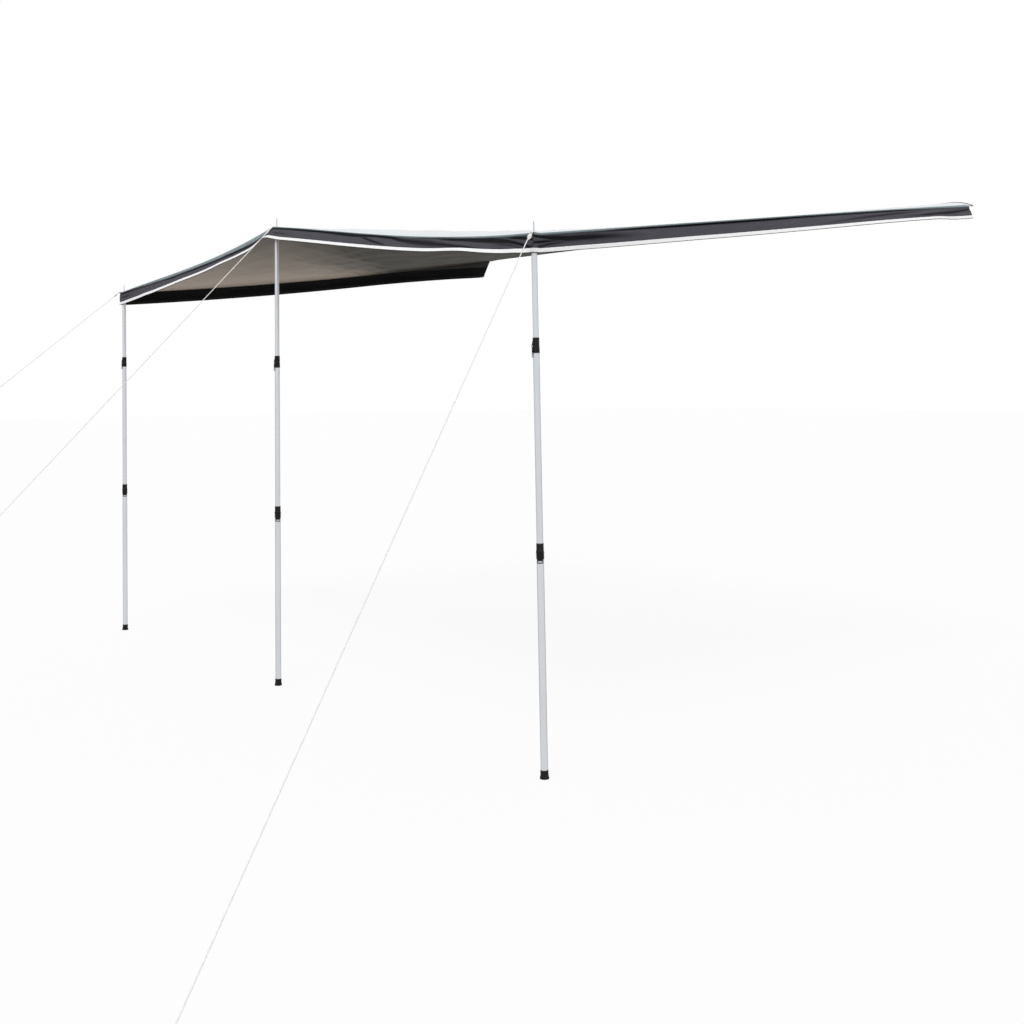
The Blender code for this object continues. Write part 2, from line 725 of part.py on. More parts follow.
def foot_profile():
    inner = BOTTOM_TUBE_R + GAP
    outer = inner + FOOT_WALL
    return [
        (0.0, FOOT_FLOOR),
        (inner, FOOT_FLOOR),
        (inner, FOOT_HEIGHT),
        (outer - FOOT_WALL / 3, FOOT_HEIGHT),
        (outer, FOOT_HEIGHT - FOOT_WALL),
        (outer, FOOT_FLARE_TOP),
        (FOOT_FLARE_R - FOOT_WALL / 2, FOOT_FLOOR),
        (FOOT_FLARE_R, FOOT_FLOOR / 2),
        (FOOT_FLARE_R - FOOT_WALL / 2, 0.0),
        (0.0, 0.0),
    ]


def spigot_profile():
    dome_from = math.acos(SPIGOT_R / TOP_TUBE_R)
    plug_r = TOP_TUBE_R - TUBE_WALL - GAP
    arc = [dome_from * (1 - i / DOME_STEPS) for i in range(DOME_STEPS + 1)]
    return [
        (0.0, SPIGOT_LENGTH),
        (SPIGOT_R * 0.6, SPIGOT_LENGTH),
        (SPIGOT_R, SPIGOT_LENGTH - SPIGOT_R / 2),
        *((TOP_TUBE_R * math.cos(a), TOP_TUBE_R * math.sin(a)) for a in arc),
        (TOP_TUBE_R, -PLUG_FLANGE),
        (plug_r, -PLUG_FLANGE),
        (plug_r, -PLUG_LENGTH),
        (0.0, -PLUG_LENGTH),
    ]


def make_pole(side, clamps):
    x, height, collar_top, (foot_x, foot_y) = POLES[side]
    top = height - RAIL_HEIGHT - EYELET_HALF - DOME_SEAT
    down = Vector((foot_x, foot_y, -RAIL_HEIGHT - top))
    lean = Vector((0.0, 0.0, -1.0)).rotation_difference(down).to_matrix().to_4x4()
    carrier = pivot(f"{side}_pole_pivot", None, Matrix.Translation((x, -DEPTH, top)) @ lean)
    ground = -down.length

    def pipe(name, radius, high, length):
        profile = ring_profile(radius - TUBE_WALL, radius, high, high - length)
        keep(turned(f"{side}_{name}", profile, closed=True), ALUMINIUM, carrier)

    keep(turned(f"{side}_spigot", spigot_profile(), closed=False, steps=16), ZINC_STEEL, carrier)
    pipe("top_tube", TOP_TUBE_R, -PLUG_FLANGE - GAP, TOP_TUBE_LENGTH)
    tube_end = COLLAR_HEIGHT - COLLAR_ON_TUBE
    upper_facing, lower_facing = LEVERS_FACE[side]
    upper, lower = ground + collar_top, ground + BOTTOM_COLLAR_TOP
    add_clamp(side, "upper", clamps["upper"], carrier, upper, upper_facing)
    pipe("middle_tube", MIDDLE_TUBE_R, upper - tube_end, MIDDLE_TUBE_LENGTH)
    add_clamp(side, "lower", clamps["lower"], carrier, lower, lower_facing)
    pipe("bottom_tube", BOTTOM_TUBE_R, lower - tube_end, BOTTOM_COLLAR_TOP - tube_end - FOOT_FLOOR - GAP)
    foot = keep(turned(f"{side}_foot", foot_profile(), closed=False), FOOT_RUBBER, carrier)
    foot.location = (0.0, 0.0, ground)


# Guy ropes, with the knot, runner and peg of each


class RopeLine:
    """The line of one guy rope: out level from the spigot, over the hem, then straight down to the peg."""

    def __init__(self, side):
        x, height, _, _ = POLES[side]
        heading = math.radians(ROPE_HEADINGS[side])
        self.angle = math.radians(ROPE_ANGLES[side])
        self.out = Vector((math.cos(heading), math.sin(heading), 0.0))
        self.across = Vector((-math.sin(heading), math.cos(heading), 0.0))
        self.start = Vector((x, -DEPTH, height - RAIL_HEIGHT + EYELET_HALF + GAP + ROPE_R))
        self.level = (EDGE_INSET + VALANCE_OUT + VALANCE / 2) / abs(self.out.y)
        self.bend = ROPE_BEND_R * self.angle
        self.down = self.out * math.cos(self.angle) - Vector((0.0, 0.0, math.sin(self.angle)))
        self.up = self.out * math.sin(self.angle) + Vector((0.0, 0.0, math.cos(self.angle)))
        slope_top = self.at(self.level + self.bend).z
        peg_z = -RAIL_HEIGHT + PEG_LOOP_HEIGHT
        self.peg = self.level + self.bend + (slope_top - peg_z) / math.sin(self.angle)

    def at(self, along, side=0.0):
        """The point this far along the line, and this far off to its side."""
        turn = min(max((along - self.level) / ROPE_BEND_R, 0.0), self.angle)
        reach = min(along, self.level) + ROPE_BEND_R * math.sin(turn)
        fall = ROPE_BEND_R * (1 - math.cos(turn))
        point = self.start + self.out * reach - Vector((0.0, 0.0, fall)) + self.across * side
        return point + self.down * max(along - self.level - self.bend, 0.0)

    def eye_side(self, along):
        """How far a strand lies to the side between the eye round the spigot and the knot."""
        eye = SPIGOT_R + ROPE_PLAY + ROPE_R
        share = min(max(along / (KNOT_AT - KNOT_LENGTH / 2), 0.0), 1.0)
        return eye + (STRAND - eye) * share * share * (3 - 2 * share)

    def frame(self, along, side):
        """A matrix whose Z runs down the rope and whose Y runs across it, at a point of the straight."""
        axes = Matrix((-self.up, self.across, self.down)).transposed()
        return Matrix.Translation(self.at(along, side)) @ axes.to_4x4()


def rope_points(line):
    eye = SPIGOT_R + ROPE_PLAY + ROPE_R
    slope_from = line.level + line.bend
    near = [0.0, line.level / 2, line.level]
    near += [line.level + line.bend / 2, slope_from, KNOT_AT - KNOT_LENGTH / 2, KNOT_AT + KNOT_LENGTH / 2]
    short_end = [line.at(along, line.eye_side(along)) for along in reversed(near)]
    short_end.insert(0, line.at(KNOT_AT + KNOT_LENGTH / 2 + TAIL, STRAND))
    eye_turn = [
        line.start + line.across * eye * math.cos(a) - line.out * eye * math.sin(a)
        for a in (math.pi * i / 8 for i in range(1, 8))
    ]
    long_end = [line.at(along, -line.eye_side(along)) for along in near]
    peg_turn = [
        line.at(line.peg, ROPE_BEND_R * (1 - math.cos(a)) - STRAND) + line.down * ROPE_BEND_R * math.sin(a)
        for a in (math.pi * i / 8 for i in range(0, 9))
    ]
    run = [line.at(along, -STRAND) for along in between(near[-1], line.peg - RUNNER_UP, 8)]
    back = line.at(line.peg - RUNNER_UP - TAIL, 2 * ROPE_BEND_R - STRAND)
    return short_end + eye_turn + long_end + run + peg_turn + [back]


def make_knot(side, line):
    mesh = bpy.data.meshes.new(f"{side}_rope_knot")
    work = bmesh.new()
    bmesh.ops.create_uvsphere(work, u_segments=12, v_segments=8, radius=1.0)
    shape = Matrix.Diagonal((KNOT_R * 0.8, KNOT_R, KNOT_LENGTH / 2, 1.0))
    bmesh.ops.transform(work, matrix=shape, verts=work.verts)
    work.to_mesh(mesh)
    work.free()
    knot = keep(bpy.data.objects.new(f"{side}_rope_knot", mesh), ROPE_YARN)
    knot.matrix_world = line.frame(KNOT_AT, 0.0)
    for sign in (-1, 1):
        channel = cylinder(
            f"{side}_knot_channel_{sign}",
            ROPE_R + GAP,
            2 * KNOT_LENGTH,
            8,
            turn=Matrix.Rotation(math.radians(22.5), 4, "Z"),
        )
        as_cutter(channel).matrix_world = line.frame(KNOT_AT, sign * STRAND)
        combine(knot, channel, "DIFFERENCE")


def make_runner(side, line):
    along = line.peg - RUNNER_UP
    spread = 2 * ROPE_BEND_R
    reach = ROPE_R + GAP + RUNNER_RIM
    runner = keep(
        block(
            f"{side}_rope_runner",
            (-RUNNER_DEPTH / 2, -reach, -RUNNER_THICK / 2),
            (RUNNER_DEPTH / 2, spread + reach, RUNNER_THICK / 2),
        ),
        RUNNER_PLASTIC,
    )
    runner.matrix_world = line.frame(along, -STRAND)
    edge = runner.modifiers.new("Round", "BEVEL")
    edge.width = RUNNER_THICK / 4
    edge.segments = 2
    for number, side_way in enumerate((0.0, spread)):
        hole = cylinder(f"{side}_runner_hole_{number}", ROPE_R + 2 * GAP, 4 * RUNNER_THICK, 12)
        as_cutter(hole).matrix_world = line.frame(along, side_way - STRAND)
        combine(runner, hole, "DIFFERENCE")


def make_peg(side, line):
    """The peg stands square to the rope, its hook over the rope's bend."""
    middle = line.at(line.peg, ROPE_BEND_R - STRAND)
    middle += line.down * (ROPE_BEND_R - ROPE_R - GAP - PEG_R)
    hook = [
        line.up * (PEG_OVER_ROPE + PEG_HOOK_R * math.sin(a)) + line.down * PEG_HOOK_R * (1 - math.cos(a))
        for a in (math.radians(PEG_HOOK_TURN) * i / 6 for i in range(7))
    ]
    shaft = [line.up * -PEG_UNDER_ROPE, line.up * (PEG_POINT - PEG_UNDER_ROPE)]
    points = [middle + step for step in shaft + hook]
    tube(f"{side}_peg", points, PEG_R, ZINC_STEEL, taper=(0.25, 1.0))


make_roof()
make_rail_bead()
make_valances()
upper_clamp = clamp_meshes("upper", TOP_TUBE_R, MIDDLE_TUBE_R)
lower_clamp = clamp_meshes("lower", MIDDLE_TUBE_R, BOTTOM_TUBE_R)
for pole in POLES:
    make_eyelet(pole)
    make_pole(pole, {"upper": upper_clamp, "lower": lower_clamp})
    rope = RopeLine(pole)
    tube(f"{pole}_guy_rope", rope_points(rope), ROPE_R, ROPE_YARN)
    make_knot(pole, rope)
    make_runner(pole, rope)
    make_peg(pole, rope)
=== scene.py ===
# %% [markdown]
# # A caravan sun canopy
#
# The real canopy is a light sheet that slides into the awning rail of a caravan and stands on three telescopic
# poles. A dark valance with a white binding hangs from its free edges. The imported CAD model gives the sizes, the
# places and the joints. This script dresses it: cloth with hems and folds, smooth tubes, moulded clamps and ropes.

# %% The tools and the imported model
import json
from math import acos, atan2, copysign, cos, degrees, exp, hypot, pi, radians, sin, sqrt

import bmesh
import bpy
from mathutils import Matrix, Vector, noise


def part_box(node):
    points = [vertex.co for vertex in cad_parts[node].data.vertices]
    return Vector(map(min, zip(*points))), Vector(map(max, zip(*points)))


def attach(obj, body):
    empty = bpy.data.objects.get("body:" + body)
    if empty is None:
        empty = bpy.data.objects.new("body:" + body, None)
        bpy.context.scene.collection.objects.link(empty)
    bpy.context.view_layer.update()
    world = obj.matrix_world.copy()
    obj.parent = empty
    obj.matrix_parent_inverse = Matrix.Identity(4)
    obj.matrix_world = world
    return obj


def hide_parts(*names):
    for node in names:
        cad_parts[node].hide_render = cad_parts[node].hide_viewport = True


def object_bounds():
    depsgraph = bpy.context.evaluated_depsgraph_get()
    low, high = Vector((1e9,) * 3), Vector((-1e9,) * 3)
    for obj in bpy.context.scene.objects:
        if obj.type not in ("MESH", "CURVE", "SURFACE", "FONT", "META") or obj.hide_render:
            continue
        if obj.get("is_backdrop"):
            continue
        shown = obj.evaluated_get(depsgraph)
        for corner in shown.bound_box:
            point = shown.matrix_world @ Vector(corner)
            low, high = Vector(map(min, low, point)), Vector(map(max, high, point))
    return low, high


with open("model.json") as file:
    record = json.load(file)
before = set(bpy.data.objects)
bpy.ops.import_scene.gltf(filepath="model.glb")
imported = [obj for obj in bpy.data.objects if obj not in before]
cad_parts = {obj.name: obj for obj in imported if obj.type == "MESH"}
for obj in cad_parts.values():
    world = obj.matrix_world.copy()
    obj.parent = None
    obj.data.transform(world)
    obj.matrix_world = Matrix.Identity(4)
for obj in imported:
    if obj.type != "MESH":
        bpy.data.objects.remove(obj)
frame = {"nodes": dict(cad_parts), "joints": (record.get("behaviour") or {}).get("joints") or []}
CAD_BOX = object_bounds()
JOINTS = {joint["name"]: joint for joint in frame["joints"]}
SIDES = ("left", "middle", "right")
UP = Vector((0.0, 0.0, 1.0))
print("CAD box", [round(value, 3) for corner in CAD_BOX for value in corner])


# %% An object in the scene
def show(obj):
    """Links an object to the scene."""
    bpy.context.scene.collection.objects.link(obj)
    return obj


# %% [markdown]
# ## The camera
#
# The photographer stood at the right front corner, low, with the camera level. A level camera keeps the poles
# upright in the picture, and a small lens shift then sets the height of the horizon in the frame.

# %% The camera stands where the photographer stood
CAMERA_AT = (6.18, -6.156, -0.94)
CAMERA_TURN = 52.4  # degrees to the left of straight at the caravan
CAMERA_ROLL = -0.20
FRAME_PIXELS = 1024
HORIZON_PIXEL = 385

lens = bpy.data.cameras.new("photo_camera")
lens.lens = 48.0
lens.sensor_width = 36.0
lens.shift_y = (HORIZON_PIXEL - FRAME_PIXELS / 2) / FRAME_PIXELS
camera = show(bpy.data.objects.new("photo_camera", lens))
level = Matrix.Rotation(radians(CAMERA_TURN), 4, "Z") @ Matrix.Rotation(radians(90), 4, "X")
camera.matrix_world = Matrix.Translation(CAMERA_AT) @ level @ Matrix.Rotation(radians(CAMERA_ROLL), 4, "Z")
bpy.context.scene.camera = camera
print("camera", camera.name, "shift", round(lens.shift_y, 3))

# %% [markdown]
# ## Where the poles stand
#
# Everything hangs on the three eyelets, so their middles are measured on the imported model. The height of the
# cloth at each one follows, and with it the guy ropes and the whole roof.

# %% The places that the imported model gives
GAP = 0.0003
CLOTH = 0.0015
VALANCE = 0.002
EDGE_INSET = 0.018
SPIGOT_R = 0.00275


def middle_of(node):
    low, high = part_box(node)
    return (Vector(low) + Vector(high)) / 2


EYELETS = {side: middle_of(f"{side}_eyelet") for side in SIDES}
EYELET_HALF = (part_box("middle_eyelet")[1][2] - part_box("middle_eyelet")[0][2]) / 2
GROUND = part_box("left_foot")[0][2]
HALF_WIDTH = EYELETS["right"].x + EDGE_INSET
RIDGE_X = EYELETS["middle"].x
FRONT_EDGE = EYELETS["middle"].y - EDGE_INSET
print("cloth above the ground at the poles", {side: round(EYELETS[side].z - GROUND, 3) for side in SIDES})

made = []


def piece(obj, finish, *replaced, body="canopy"):
    """Puts an object in the scene as a finished piece that rides on a body and stands for CAD nodes."""
    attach(show(obj), body)
    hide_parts(*replaced)
    made.append((obj, finish))
    return obj


# %% [markdown]
# ## The guy ropes
#
# A guy rope is a limp braided cord. Its eye drops over the spigot, a knot closes the eye, and the long end runs
# straight to a ground peg, round it and back up to a runner. A curve with a round bevel suits a rope, because its
# line keeps the true length. The values here and below are those of the CAD source.


# %% Values that run between others
def share_of(value, start, end):
    """How far a value has come from start to end, 0 to 1."""
    return min(max((value - start) / (end - start), 0.0), 1.0)


def along_list(along, pairs):
    """A value that runs smoothly between the pairs of distance and value."""
    for (x0, y0), (x1, y1) in zip(pairs, pairs[1:]):
        if along < x1:
            share = share_of(along, x0, x1)
            return y0 + (y1 - y0) * share * share * (3 - 2 * share)
    return pairs[-1][1]


# %% The line of a rope
ROPE_R = 0.002
ROPE_BEND_R = 0.0085
ROPE_PLAY = 0.00375
ROPE_EYE_R = SPIGOT_R + ROPE_PLAY + ROPE_R
ROPE_ANGLES = {"left": 39.0, "middle": 45.5, "right": 39.0}
ROPE_HEADINGS = {"left": -123.0, "middle": -90.0, "right": -57.0}
KNOT_AT = 0.060
KNOT_LENGTH = 0.020
TAIL = 0.012
STRAND = 0.0024
RUNNER_UP = 0.085
PEG_LOOP_HEIGHT = 0.035
ROPE_STEPS = 8  # stretches round each bend and along the straight run


class RopeLine:
    """One rope: out level from the spigot, over the hem, then straight down to the peg."""

    def __init__(self, side):
        heading = radians(ROPE_HEADINGS[side])
        self.angle = radians(ROPE_ANGLES[side])
        self.out = Vector((cos(heading), sin(heading), 0.0))
        self.across = Vector((-sin(heading), cos(heading), 0.0))
        self.start = EYELETS[side] + UP * (EYELET_HALF + GAP + ROPE_R)
        self.level = (EDGE_INSET + GAP + VALANCE) / abs(self.out.y)
        self.bend = ROPE_BEND_R * self.angle
        self.down = self.out * cos(self.angle) - UP * sin(self.angle)
        self.up = self.out * sin(self.angle) + UP * cos(self.angle)
        drop = self.at(self.level + self.bend).z - GROUND - PEG_LOOP_HEIGHT
        self.peg = self.level + self.bend + drop / sin(self.angle)

    def at(self, along, side=0.0):
        """The point this far along the rope, and this far off to its side."""
        turn = min(max((along - self.level) / ROPE_BEND_R, 0.0), self.angle)
        reach = min(along, self.level) + ROPE_BEND_R * sin(turn)
        fall = ROPE_BEND_R * (1 - cos(turn))
        point = self.start + self.out * reach - UP * fall + self.across * side
        return point + self.down * max(along - self.level - self.bend, 0.0)

    def eye_side(self, along):
        """How far a strand lies to the side between the eye and the knot."""
        return along_list(along, ((0.0, ROPE_EYE_R), (KNOT_AT - KNOT_LENGTH / 2, STRAND)))

    def points(self):
        """The whole route, from the short end over the knot, the eye and the peg to the runner."""
        knot_from, knot_to = KNOT_AT - KNOT_LENGTH / 2, KNOT_AT + KNOT_LENGTH / 2
        near = [0.0, self.level / 2, self.level, self.level + self.bend / 2, self.level + self.bend]
        near += [knot_from, knot_to]
        route = [self.at(knot_to + TAIL, STRAND)]
        route += [self.at(along, self.eye_side(along)) for along in reversed(near)]
        for step in range(1, ROPE_STEPS):
            turn = pi * step / ROPE_STEPS
            aside = self.across * ROPE_EYE_R * cos(turn)
            route.append(self.start + aside - self.out * ROPE_EYE_R * sin(turn))
        route += [self.at(along, -self.eye_side(along)) for along in near]
        run = self.peg - RUNNER_UP - knot_to
        route += [self.at(knot_to + run * step / ROPE_STEPS, -STRAND) for step in range(1, ROPE_STEPS + 1)]
        for step in range(ROPE_STEPS + 1):
            turn = pi * step / ROPE_STEPS
            bend = self.at(self.peg, ROPE_BEND_R * (1 - cos(turn)) - STRAND)
            route.append(bend + self.down * ROPE_BEND_R * sin(turn))
        route.append(self.at(self.peg - RUNNER_UP - TAIL, 2 * ROPE_BEND_R - STRAND))
        return route


ROPE_LINES = {side: RopeLine(side) for side in SIDES}


# %% A round bar or rope along a line of points
def round_bar(name, points, radius, shares=(), sides=4):
    """A curve through the points with a round bevel; shares thin it at its first points.

    The bevel is 1 m deep and each point's own radius scales it, so that the curve's box is its true one.
    """
    curve = bpy.data.curves.new(name, "CURVE")
    curve.dimensions = "3D"
    curve.bevel_depth = 1.0
    curve.bevel_resolution = sides
    curve.use_fill_caps = True
    spline = curve.splines.new("POLY")
    spline.points.add(len(points) - 1)
    for point, place in zip(spline.points, points):
        point.co = (*place, 1.0)
        point.radius = radius
    for point, share in zip(spline.points, shares):
        point.radius = radius * share
    spline.use_smooth = True
    return bpy.data.objects.new(name, curve)


def line_length(points):
    return sum((b - a).length for a, b in zip(points, points[1:]))


# %% The knot that closes the eye
KNOT_TURNS = 4
KNOT_STEPS = 14  # points in a turn
KNOT_ACROSS = 0.0062
KNOT_DEEP = 0.0040


def make_knot(side):
    """Turns of the same rope wound round both strands, each beside the last."""
    line = ROPE_LINES[side]
    steps = KNOT_STEPS * KNOT_TURNS
    points = []
    for step in range(steps + 1):
        turn = 2 * pi * step / KNOT_STEPS
        along = KNOT_AT + (step / steps - 0.5) * (KNOT_LENGTH - 2 * ROPE_R)
        aside = line.across * KNOT_ACROSS * cos(turn) + line.up * KNOT_DEEP * sin(turn)
        points.append(line.at(along) + aside)
    knot = round_bar(f"{side}_knot_turns", points, ROPE_R)
    return piece(knot, "rope_yarn", f"{side}_rope_knot")


# %% A mesh from a bmesh, and rounded edges
ROUND_FROM = 35.0  # edges that turn by more degrees than this are rounded


def object_of(name, work):
    """An object with the mesh that a bmesh has built, shaded smooth."""
    mesh = bpy.data.meshes.new(name)
    work.to_mesh(mesh)
    work.free()
    mesh.shade_smooth()
    return bpy.data.objects.new(name, mesh)


def round_edges(obj, width):
    """Rounds an object's edges, because real ones catch the light."""
    edge = obj.modifiers.new("Round", "BEVEL")
    edge.width = width
    edge.segments = 2
    edge.limit_method = "ANGLE"
    edge.angle_limit = radians(ROUND_FROM)
    return edge


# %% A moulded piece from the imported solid
WELD = 0.00001
FLAT_WITHIN = 3.0  # degrees
MOULDED_SHARP = 40.0


def moulded(node, width, finish, body="canopy"):
    """A copy of a CAD node with its points merged, its flat faces whole and its edges rounded."""
    work = bmesh.new()
    work.from_mesh(frame["nodes"][node].data)
    bmesh.ops.remove_doubles(work, verts=work.verts, dist=WELD)
    bmesh.ops.dissolve_limit(work, angle_limit=radians(FLAT_WITHIN), verts=work.verts, edges=work.edges)
    obj = object_of(f"{node}_moulded", work)
    obj.data.set_sharp_from_angle(angle=radians(MOULDED_SHARP))
    round_edges(obj, width).harden_normals = True
    return piece(obj, finish, node, body=body)


# %% The peg in the ground
PEG_R = 0.004
PEG_UNDER_ROPE = 0.20
PEG_OVER_ROPE = 0.018
PEG_HOOK_R = 0.009
PEG_HOOK_TURN = 150.0
PEG_POINT = 0.02
PEG_TIP = 0.2  # share of the radius at the very tip
HOOK_STEPS = 16


def make_peg(side):
    """A bent steel bar, square to the rope, its hook over the rope's bend."""
    line = ROPE_LINES[side]
    middle = line.at(line.peg, ROPE_BEND_R - STRAND) + line.down * (ROPE_BEND_R - ROPE_R - GAP - PEG_R)
    points = [middle - line.up * PEG_UNDER_ROPE, middle - line.up * (PEG_UNDER_ROPE - PEG_POINT)]
    for step in range(HOOK_STEPS + 1):
        turn = radians(PEG_HOOK_TURN) * step / HOOK_STEPS
        rise = line.up * (PEG_OVER_ROPE + PEG_HOOK_R * sin(turn))
        points.append(middle + rise + line.down * PEG_HOOK_R * (1 - cos(turn)))
    peg = round_bar(f"{side}_steel_peg", points, PEG_R, (PEG_TIP, 1.0))
    return piece(peg, "zinc_steel", f"{side}_peg")


# %% The three ropes, each with its knot, runner and peg
RUNNER_EDGE = 0.0006

for side in SIDES:
    route = ROPE_LINES[side].points()
    rope = piece(round_bar(f"{side}_braided_rope", route, ROPE_R), "rope_yarn", f"{side}_guy_rope")
    knot = make_knot(side)
    runner = moulded(f"{side}_rope_runner", RUNNER_EDGE, "runner_plastic")
    make_peg(side)
    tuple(route[0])
    line_length(route)
    print(f"{side} guy rope: {line_length(route):.3f} m of {len(route)} points")

# %% [markdown]
# ## The roof cloth
#
# The roof is one continuous sheet. It is straight from the rail to the pole tops, it sags between the poles and
# at its edges, and pulled corners send out shallow folds. A grid whose height follows a formula gives that shape
# without a simulation, and it keeps to the CAD surface.

# %% The height of the roof
FRONT_SAG_LEFT = 0.029
FRONT_SAG_RIGHT = 0.026
FRONT_SAG_SKEW = 1.5
FRONT_BAND = 0.30
SIDE_SAG_LEFT = 0.030
SIDE_SAG_RIGHT = 0.006
SIDE_BAND = 0.13
CORNER_DROP_LEFT = 0.006
CORNER_DROP_RIGHT = 0.029
MIDDLE_SAG = 0.030
BEAD_R = 0.00375
BACK_EDGE = -(BEAD_R + GAP)
FLAT_FROM = FRONT_EDGE + 2 * EDGE_INSET


def ramp(value):
    """0 up to 0, 1 from 1 on, with a soft start."""
    held = share_of(value, 0.0, 1.0)
    return held * held


def arch(x, start, end, skew=1.0):
    """0 at both ends and 1 half way, or further on with a skew above 1."""
    share = share_of(x, start, end) ** skew
    return 4 * share * (1 - share)


def front_line(x):
    """Height of the taut front line, level over each eyelet."""
    knots = [(EYELETS[side].x + way * EDGE_INSET, EYELETS[side].z) for side in SIDES for way in (-1, 1)]
    for (x0, z0), (x1, z1) in zip(knots, knots[1:]):
        if x <= x1:
            return z0 + (z1 - z0) * share_of(x, x0, x1)
    return knots[-1][1]


def front_sag(x):
    inner = HALF_WIDTH - 2 * EDGE_INSET
    if x < RIDGE_X:
        return FRONT_SAG_LEFT * arch(x, -inner, RIDGE_X - EDGE_INSET, FRONT_SAG_SKEW)
    return FRONT_SAG_RIGHT * arch(x, RIDGE_X + EDGE_INSET, inner, FRONT_SAG_SKEW)


def side_sag(x, share):
    sag, drop = (SIDE_SAG_LEFT, CORNER_DROP_LEFT) if x < 0 else (SIDE_SAG_RIGHT, CORNER_DROP_RIGHT)
    return sag * 4 * share * (1 - share) + drop * share**3


def middle_sag(x, share):
    across = arch(x, -HALF_WIDTH, RIDGE_X) + arch(x, RIDGE_X, HALF_WIDTH)
    return MIDDLE_SAG * across * sin(pi * share)


def roof_z(x, y):
    share = share_of(y, FLAT_FROM, BACK_EDGE)
    front = front_sag(x) * ramp((FLAT_FROM + FRONT_BAND - y) / FRONT_BAND)
    side = side_sag(x, share) * ramp((abs(x) - HALF_WIDTH + SIDE_BAND) / SIDE_BAND)
    return front_line(x) * (1 - share) - front - side - middle_sag(x, share)


def on_roof(at, lift=0.0):
    """The point of the roof's upper face at this place, or a little above it."""
    return Vector((at.x, at.y, roof_z(at.x, at.y) + CLOTH / 2 + lift))


# %% Folds that fan out from the pulled corners
FOLD_FADE = 0.16  # the folds die out this near the edge
FOLD_WANDER = 4.8  # how far noise turns the folds, radians
WANDER_GRAIN = (3, 0.7)  # how fast that changes round a corner and away from it
BROAD_FOLD = 0.004
BROAD_GRAIN = 1.3
CORNER_FOLDS = (  # corner, number of folds in a full turn, depth, distance at which they are deepest
    ((-HALF_WIDTH, FRONT_EDGE), 34, 0.0055, 0.75),
    ((-HALF_WIDTH, 0.0), 38, 0.0065, 0.95),
    ((HALF_WIDTH, FRONT_EDGE), 34, 0.0024, 0.60),
    ((HALF_WIDTH, 0.0), 38, 0.0024, 0.60),
    ((RIDGE_X, FRONT_EDGE), 30, 0.0014, 0.35),
)


def uneven(along, across, seed):
    """Smooth noise from -1 to 1; another seed gives another pattern."""
    return noise.noise((along, across, seed))


def roof_folds(x, y):
    """How far the tension folds lift the cloth here; none at the hems and at the rail."""
    inside = min(HALF_WIDTH - abs(x), y - FRONT_EDGE, BACK_EDGE - y)
    lift = 0.0
    for (corner_x, corner_y), folds, depth, reach in CORNER_FOLDS:
        away = hypot(x - corner_x, y - corner_y) / reach
        turn = atan2(y - corner_y, x - corner_x)
        wander = FOLD_WANDER * uneven(WANDER_GRAIN[0] * turn, WANDER_GRAIN[1] * away, seed=corner_x)
        lift += depth * away * exp(1 - away) * sin(folds * turn + wander)
    broad = BROAD_FOLD * uneven(BROAD_GRAIN * x, BROAD_GRAIN * y, seed=4.0)
    return (lift + broad) * ramp(inside / FOLD_FADE)


# %% A cloth from a grid
def cloth_grid(name, columns, rows, place, uv, valley=None, tube=False):
    """A grid whose corner (column, row) lies at place(column, row), with its flat cloth place as UV in metres.

    valley(column, row) says how deep in a crease the corner lies, 0 to 1; the finish reads it as an attribute.
    A tube's first and last rows meet and are joined, and its ends are filled.
    """
    work = bmesh.new()
    bmesh.ops.create_grid(work, x_segments=columns, y_segments=rows, size=0.5)
    layer = work.loops.layers.uv.new("cloth")
    depths = work.verts.layers.float.new("valley") if valley else None
    for corner in work.verts:
        at = round((corner.co.x + 0.5) * columns), round((corner.co.y + 0.5) * rows)
        corner.co = place(*at)
        if valley:
            corner[depths] = valley(*at)
        for loop in corner.link_loops:
            loop[layer].uv = uv(*at)
    if tube:
        bmesh.ops.remove_doubles(work, verts=work.verts, dist=WELD)
        bmesh.ops.holes_fill(work, edges=[edge for edge in work.edges if edge.is_boundary], sides=0)
        bmesh.ops.recalc_face_normals(work, faces=work.faces)
    return object_of(name, work)


def thicken(obj, thickness):
    """Gives a sheet its thickness."""
    shell = obj.modifiers.new("Thickness", "SOLIDIFY")
    shell.thickness = thickness
    shell.offset = 0.0
    return obj


# %% The roof sheet, with a hole for each eyelet
ROOF_CELL = 0.024
EYELET_HOLE_R = 0.0065
EYELET_BARREL_R = 0.0080
PUNCH_STEPS = 40
PUNCH_LENGTH = 0.03


